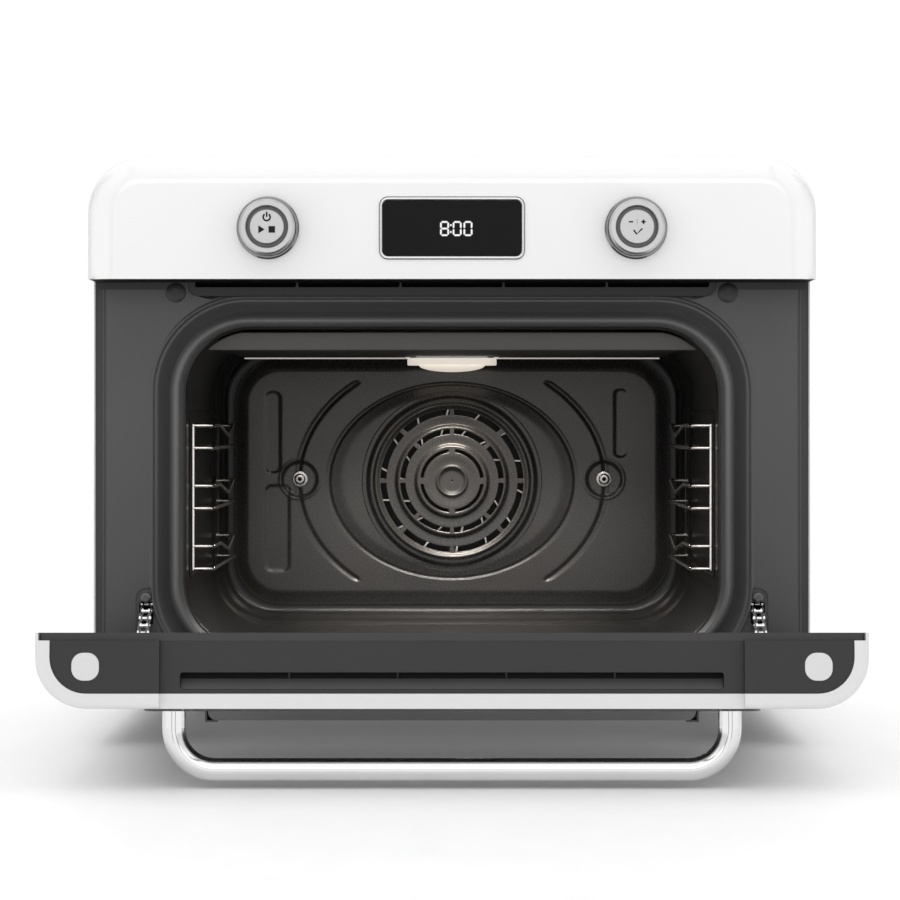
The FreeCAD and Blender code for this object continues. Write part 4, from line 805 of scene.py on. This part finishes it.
def arc_band(x, z, radius, width, start, end, steps=28):
    """A printed part of a ring, as short four-sided pieces."""
    angles = [math.radians(start + (end - start) * i / steps) for i in range(steps + 1)]
    inner, outer = radius - width / 2, radius + width / 2
    return [[(x + r * math.cos(a), z + r * math.sin(a)) for r, a in
             ((inner, first), (outer, first), (outer, second), (inner, second))]
            for first, second in zip(angles, angles[1:])]


def knob_symbols():
    """Power, play and stop on the left button, less, more and a tick on the right one."""
    x, z = -CONTROL_X, CONTROL_Z
    power = arc_band(x, z + 6.3, 2.35, 1.15, 125, 415) + [bar(x, z + 8.2, 1.1, 3.4)]
    play = [(x - 5.6, z - 4.6), (x - 1.4, z - 1.9), (x - 5.6, z + 0.8)]
    stop = bar(x + 3.4, z - 1.9, 4.4, 4.4)
    print_shape("start_symbols", power + [play, stop], BUTTON_FACE, "left_button", "symbol_ink",
                "control_aluminium")
    x = CONTROL_X
    tick = [[(x - 2.8, z - 2.6), (x - 2.0, z - 1.9), (x - 0.2, z - 4.5), (x - 0.7, z - 5.5)],
            [(x - 0.7, z - 5.5), (x - 0.2, z - 4.5), (x + 3.0, z - 1.0), (x + 3.8, z - 1.7)]]
    sign_z, apart, reach, stroke = z + 3.2, 4.2, 2.9, 1.0
    signs = [bar(x - apart, sign_z, reach, stroke), bar(x + apart, sign_z, reach, stroke),
             bar(x + apart, sign_z, stroke, reach)]
    print_shape("set_symbols", signs + tick, BUTTON_FACE, "right_button", "symbol_ink",
                "control_aluminium")
    print_shape("set_divider", [bar(x, sign_z, 0.5, 3.6)], BUTTON_FACE, "right_button", "faint_ink",
                "control_aluminium")


SEGMENTS = {"8": "abcdefg", "0": "abcdef"}


def seven_segments(figure, x, z, width=4.9, height=8.9, stroke=1.25, gap=0.16):
    """The lit strokes of one clock figure, about its middle."""
    half, rise, s = width / 2, height / 2, stroke / 2
    level = {"a": rise, "g": 0.0, "d": -rise}
    upright = {"b": (half, rise / 2), "c": (half, -rise / 2),
               "f": (-half, rise / 2), "e": (-half, -rise / 2)}
    strokes = []
    for name in SEGMENTS[figure]:
        if name in level:
            v, reach = z + level[name], half - gap
            strokes.append([(x - reach, v), (x - reach + s, v - s), (x + reach - s, v - s), (x + reach, v),
                            (x + reach - s, v + s), (x - reach + s, v + s)])
        else:
            u, v, reach = x + upright[name][0], z + upright[name][1], rise / 2 - gap
            strokes.append([(u, v - reach), (u + s, v - reach + s), (u + s, v + reach - s), (u, v + reach),
                            (u - s, v + reach - s), (u - s, v - reach + s)])
    return strokes


def clock_digits():
    """The time on the display."""
    x, z = 2.9, CONTROL_Z - 0.4
    strokes = [bar(x - 3.7, z + lift, 1.2, 1.2) for lift in (-2.3, 2.3)]
    for figure, shift in (("8", -7.9), ("0", 0.6), ("0", 7.9)):
        strokes += seven_segments(figure, x + shift, z)
    print_shape("clock_digits", strokes, GLASS_FACE, "cabinet", "digit_light", "display_black", 0.06)


def knob_grooves():
    """A darker grey ring at the bottom of the gap between each knob and its button: painted shade in the
    gap.
    """
    for side, x in (("left", -CONTROL_X), ("right", CONTROL_X)):
        profile = ((-57.4, 11.65), (-57.7, 11.8), (-57.7, 13.5), (-57.4, 13.65), (-56.6, 13.65),
                   (-56.6, 11.65), (-57.4, 11.65))
        ring_piece = turned(f"{side}_knob_groove", profile, (x, 0, CONTROL_Z))
        finish_piece(ring_piece, f"{side}_knob", MATERIALS["groove_grey"], "control_aluminium")


def bezel_ring():
    """The display's chrome bezel: an outer side in a darker chrome as painted shade, and a bright inner
    edge.
    """
    half, rise, corner, face = 47.0, 19.0, 3.9, -45.0
    outer = ((2.3, 0.0), (2.3, -0.5), (2.05, -0.95), (1.75, -1.1), (1.5, -1.15), (1.5, 0.0))
    inner = ((1.5, 0.0), (1.5, -1.15), (1.2, -1.3), (0.5, -1.3), (0.3, -1.15), (0.12, -0.8), (0.1, 0.0))
    for name, profile, look in (("display_bezel_piece", outer, "shaded_chrome"),
                                ("display_bezel_edge", inner, "bezel_chrome")):
        loops = []
        for grow, y in profile:
            low, high = CONTROL_Z - rise - grow, CONTROL_Z + rise + grow
            outline = round_rectangle(-half - grow, half + grow, low, high, corner + grow)
            loops.append([mm(x, face + y, z) for x, z in outline])
        piece = loft(name, loops, closed=True, angle=40)
        finish_piece(piece, "cabinet", MATERIALS[look], "chrome")
    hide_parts("display_bezel")


def glass_print():
    """The black printed border of the door's outer glass, inside its back."""
    back, thick = -45.05, 0.2
    outer = round_rectangle(-187.6, 187.6, 62.4, 297.6, 19.6)
    window = round_rectangle(-158, 158, 84, 268, 20)
    loops = [[on_door(x, y, z) for x, z in outline] for outline, y in
             ((outer, back - thick), (outer, back), (window, back), (window, back - thick))]
    piece = loft("glass_print", loops, closed=True)
    posts = [turned("post", ((-5, 7.4), (5, 7.4)), (x, back, HANDLE_Z), place=on_door)
             for x in (-HANDLE_X, HANDLE_X)]
    smooth(subtract(piece, *posts))
    finish_piece(piece, "door", MATERIALS["black_and_painted_shade"], "display_black")


def coil(start, along, across, length, radius, turns, steps=16):
    """A coil's line. It starts at a point and runs along a direction, for turns of so many steps."""
    line = []
    for i in range(turns * steps + 1):
        angle = 2 * math.pi * i / steps
        swing = across * radius * math.sin(angle) + Vector((radius * math.cos(angle), 0, 0))
        line.append(start + along * length * i / (turns * steps) + swing)
    return line


def chain_spring(side, name):
    """A coil spring that pulls a chain in. The real spring shortens as the chain slides towards it; this
    piece is drawn at one length.
    """
    slope, hook, length, travel, radius, thick, turns = math.radians(35), 21.0, 127.0, 28.5, 3.4, 0.55, 38
    along = Vector((0, math.cos(slope), math.sin(slope)))
    across = Vector((0, -math.sin(slope), math.cos(slope)))
    start = Vector((side * CHAIN_X, 3, 92)) + along * hook
    line = [mm(*place) for place in coil(start, along, across, length, radius, turns)]
    curve = wire(f"{name}_coil", [line], thick, 2)
    piece = bpy.data.objects.new(f"{name}_piece", bpy.data.meshes.new_from_object(curve))
    SCENE.collection.objects.link(piece)
    bpy.data.objects.remove(curve)
    finish_piece(piece, "cabinet", MATERIALS["bright_steel"], "plated_steel", name)
    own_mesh(piece)


# ---------------------------------------------------------------- small pieces on the front

def hood_shadow_plate():
    """A black plate on the hood's underside: painted shade."""
    outline = [(-245, -41), (245, -41), (245, -1), (-245, -1)]
    piece = level_plate("hood_shadow_plate", outline, 318.25, 318.45)
    finish_piece(piece, "cabinet", MATERIALS["black_and_painted_shade"], "dark_enamel")


def vent_shadow_plate():
    """A slanted black plate behind the vents: painted shade that keeps the view through the vents dark."""
    section = ((3.6, 325), (4.6, 325), (13.4, 311.5), (12.4, 311.5))
    loops = [[mm(x, y, z) for y, z in section] for x in (-184, 184)]
    piece = loft("vent_shadow_plate", loops, caps=(True, True))
    finish_piece(piece, "cabinet", MATERIALS["black_and_painted_shade"], "dark_enamel")


def cap_slot():
    """The lining of the air slot in the door's top cap: a black floor and four black ribs as painted shade,
    and a slanted side in a lighter grey as painted light.
    """
    half, outer, middle, inner, floor_z, lip_z = 162.8, -35.9, -29.4, -25.9, 303.05, 307.6
    slope = ((outer, floor_z), (outer, lip_z), (middle, floor_z + 0.6), (middle, floor_z))
    ground = ((middle, floor_z), (middle, floor_z + 0.3), (inner, floor_z + 0.3), (inner, floor_z))
    rib = ((middle, floor_z), (middle, floor_z + 0.4), (inner, floor_z + 2.4), (inner, floor_z))
    strips = [("cap_slot_side", slope, -half, half, "painted_light_slot_grey"),
              ("cap_slot_floor", ground, -half, half, "black_and_painted_shade")]
    strips += [(f"cap_slot_rib_{i}", rib, x - 0.6, x + 0.6, "black_rubber_and_shade")
               for i, x in enumerate((-97.8, -32.6, 32.6, 97.8))]
    for name, section, left, right, look in strips:
        loops = [[on_door(x, y, z) for y, z in section] for x in (left, right)]
        strip = loft(name, loops, caps=(True, True))
        finish_piece(strip, "door", MATERIALS[look], "dark_plastic")


# ---------------------------------------------------------------- stage

def area_light(name, place, aim, width, height, watts, tint=(1, 1, 1)):
    """A softbox at a place in metres, turned to face a point. Its size is in metres."""
    lamp = bpy.data.lights.new(name, "AREA")
    lamp.shape = "RECTANGLE"
    lamp.size, lamp.size_y = width, height
    lamp.energy = watts
    lamp.color = tint
    obj = bpy.data.objects.new(name, lamp)
    SCENE.collection.objects.link(obj)
    obj.location = place
    obj.rotation_euler = (Vector(aim) - Vector(place)).to_track_quat("-Z", "Y").to_euler()
    return obj


# The world's light, as stops of (height of the direction, grey), and its dark flags in front and
# behind, as stops of (sideways part of the direction, share of the light).
HEIGHT_LIGHT = ((0.12, 1.17), (0.2, 0.86), (0.45, 0.95), (0.7, 1.32))
FRONT_FLAGS = ((0.24, 1.0), (0.28, 0.25), (0.33, 0.25), (0.37, 1.0))
BACK_FLAGS = ((0.62, 1.0), (0.72, 0.3), (0.94, 0.3), (0.99, 1.0))


def pale_world():
    """White all round, as in a studio tent, a little greyer above the eye and brighter at the top,
    with narrow grey flags at the sides that draw lines in the chrome."""
    world = bpy.data.worlds.new("studio")
    SCENE.world = world
    world.use_nodes = True
    tree = world.node_tree
    place = tree.nodes.new("ShaderNodeTexCoord")
    split = tree.nodes.new("ShaderNodeSeparateXYZ")
    tree.links.new(place.outputs["Generated"], split.inputs["Vector"])
    sideways = light_maths(tree, "ABSOLUTE", split.outputs["X"])
    behind = light_maths(tree, "GREATER_THAN", split.outputs["Y"])
    flags = light_mix(tree, "MIX", light_ramp(tree, sideways, FRONT_FLAGS),
                      light_ramp(tree, sideways, BACK_FLAGS))
    tree.links.new(behind, flags.inputs["Factor"])
    product = light_mix(tree, "MULTIPLY", light_ramp(tree, split.outputs["Z"], HEIGHT_LIGHT),
                        flags.outputs["Result"])
    tree.links.new(product.outputs["Result"], tree.nodes["Background"].inputs["Color"])


def light_maths(tree, operation, value):
    """A maths node's result on a value, and on 0 where the operation needs a second one."""
    node = tree.nodes.new("ShaderNodeMath")
    node.operation = operation
    node.inputs[1].default_value = 0.0
    tree.links.new(value, node.inputs[0])
    return node.outputs["Value"]


def light_mix(tree, blend, first, second):
    """A node that mixes two colours in full."""
    node = tree.nodes.new("ShaderNodeMix")
    node.data_type = "RGBA"
    node.blend_type = blend
    node.inputs["Factor"].default_value = 1.0
    tree.links.new(first, node.inputs["A"])
    tree.links.new(second, node.inputs["B"])
    return node


def light_ramp(tree, value, stops):
    """A ramp of greys over a value, from stops of (value, grey)."""
    node = tree.nodes.new("ShaderNodeValToRGB")
    node.color_ramp.interpolation = "EASE"
    while len(node.color_ramp.elements) < len(stops):
        node.color_ramp.elements.new(0.5)
    for element, (place, grey) in zip(node.color_ramp.elements, stops):
        element.position = place
        element.color = colour(grey)
    tree.links.new(value, node.inputs["Fac"])
    return node.outputs["Color"]


def floor():
    """A plain white floor that runs out of sight."""
    size = 40
    plane = new_piece("floor", [(-size, -size, 0), (size, -size, 0), (size, size, 0), (-size, size, 0)],
                      [(0, 1, 2, 3)])
    plane.data.materials.append(finish_material("floor_paint", 0.9, 0.55, vary=0.002, grain=40, bump=0.0,
                                                Emission_Color=colour(1.0), Emission_Strength=0.1))


def cavity_lights():
    """The oven's lamp, and a weak light under the ceiling that stands in for the enamel's own gloss."""
    lamp = area_light("cavity_lamp", mm(0, 238, 259), mm(0, 200, 100), 0.06, 0.03, 0.3, (1.0, 0.92, 0.84))
    fill = area_light("cavity_fill", mm(0, 120, 266), mm(0, 262, 66), 0.26, 0.03, 0.2, (1.0, 0.98, 0.95))
    for light, spread in ((lamp, 125), (fill, 60)):
        light.data.spread = math.radians(spread)
        light.visible_camera = False


def front_camera():
    """The camera straight in front, a little above half the oven's height."""
    distance, height = 2.090, 0.220
    view = bpy.data.cameras.new("camera")
    view.sensor_width = 36
    view.lens = 121.3
    view.shift_x, view.shift_y = -0.0022, -0.0278
    camera = bpy.data.objects.new("camera", view)
    SCENE.collection.objects.link(camera)
    camera.location = (0, FRONT - distance, height)
    camera.rotation_euler = (math.radians(90), 0, 0)
    SCENE.camera = camera


def stage():
    """The floor, the lights and the camera."""
    pale_world()
    floor()
    area_light("front_box", (0, -3.2, 1.3), (0, 0, 0.15), 2.2, 0.8, 8)
    cavity_lights()
    SCENE.view_settings.view_transform = "Standard"
    front_camera()


dress_cad()
front_frame()
frame_groove()
hood_shadow_strips()
hood_shadow_plate()
gasket()
cavity()
fan_baffle()
baffle_screws()
blade_glints()
ceiling_panel()
lamp_bulge()
rack(-1, "rack_left")
rack(1, "rack_right")
bezel_ring()
knob_grooves()
knob_symbols()
clock_digits()
vent_shadow_plate()
cap_slot()
glass_print()
chain_spring(-1, "chain_spring_left")
chain_spring(1, "chain_spring_right")
stage()
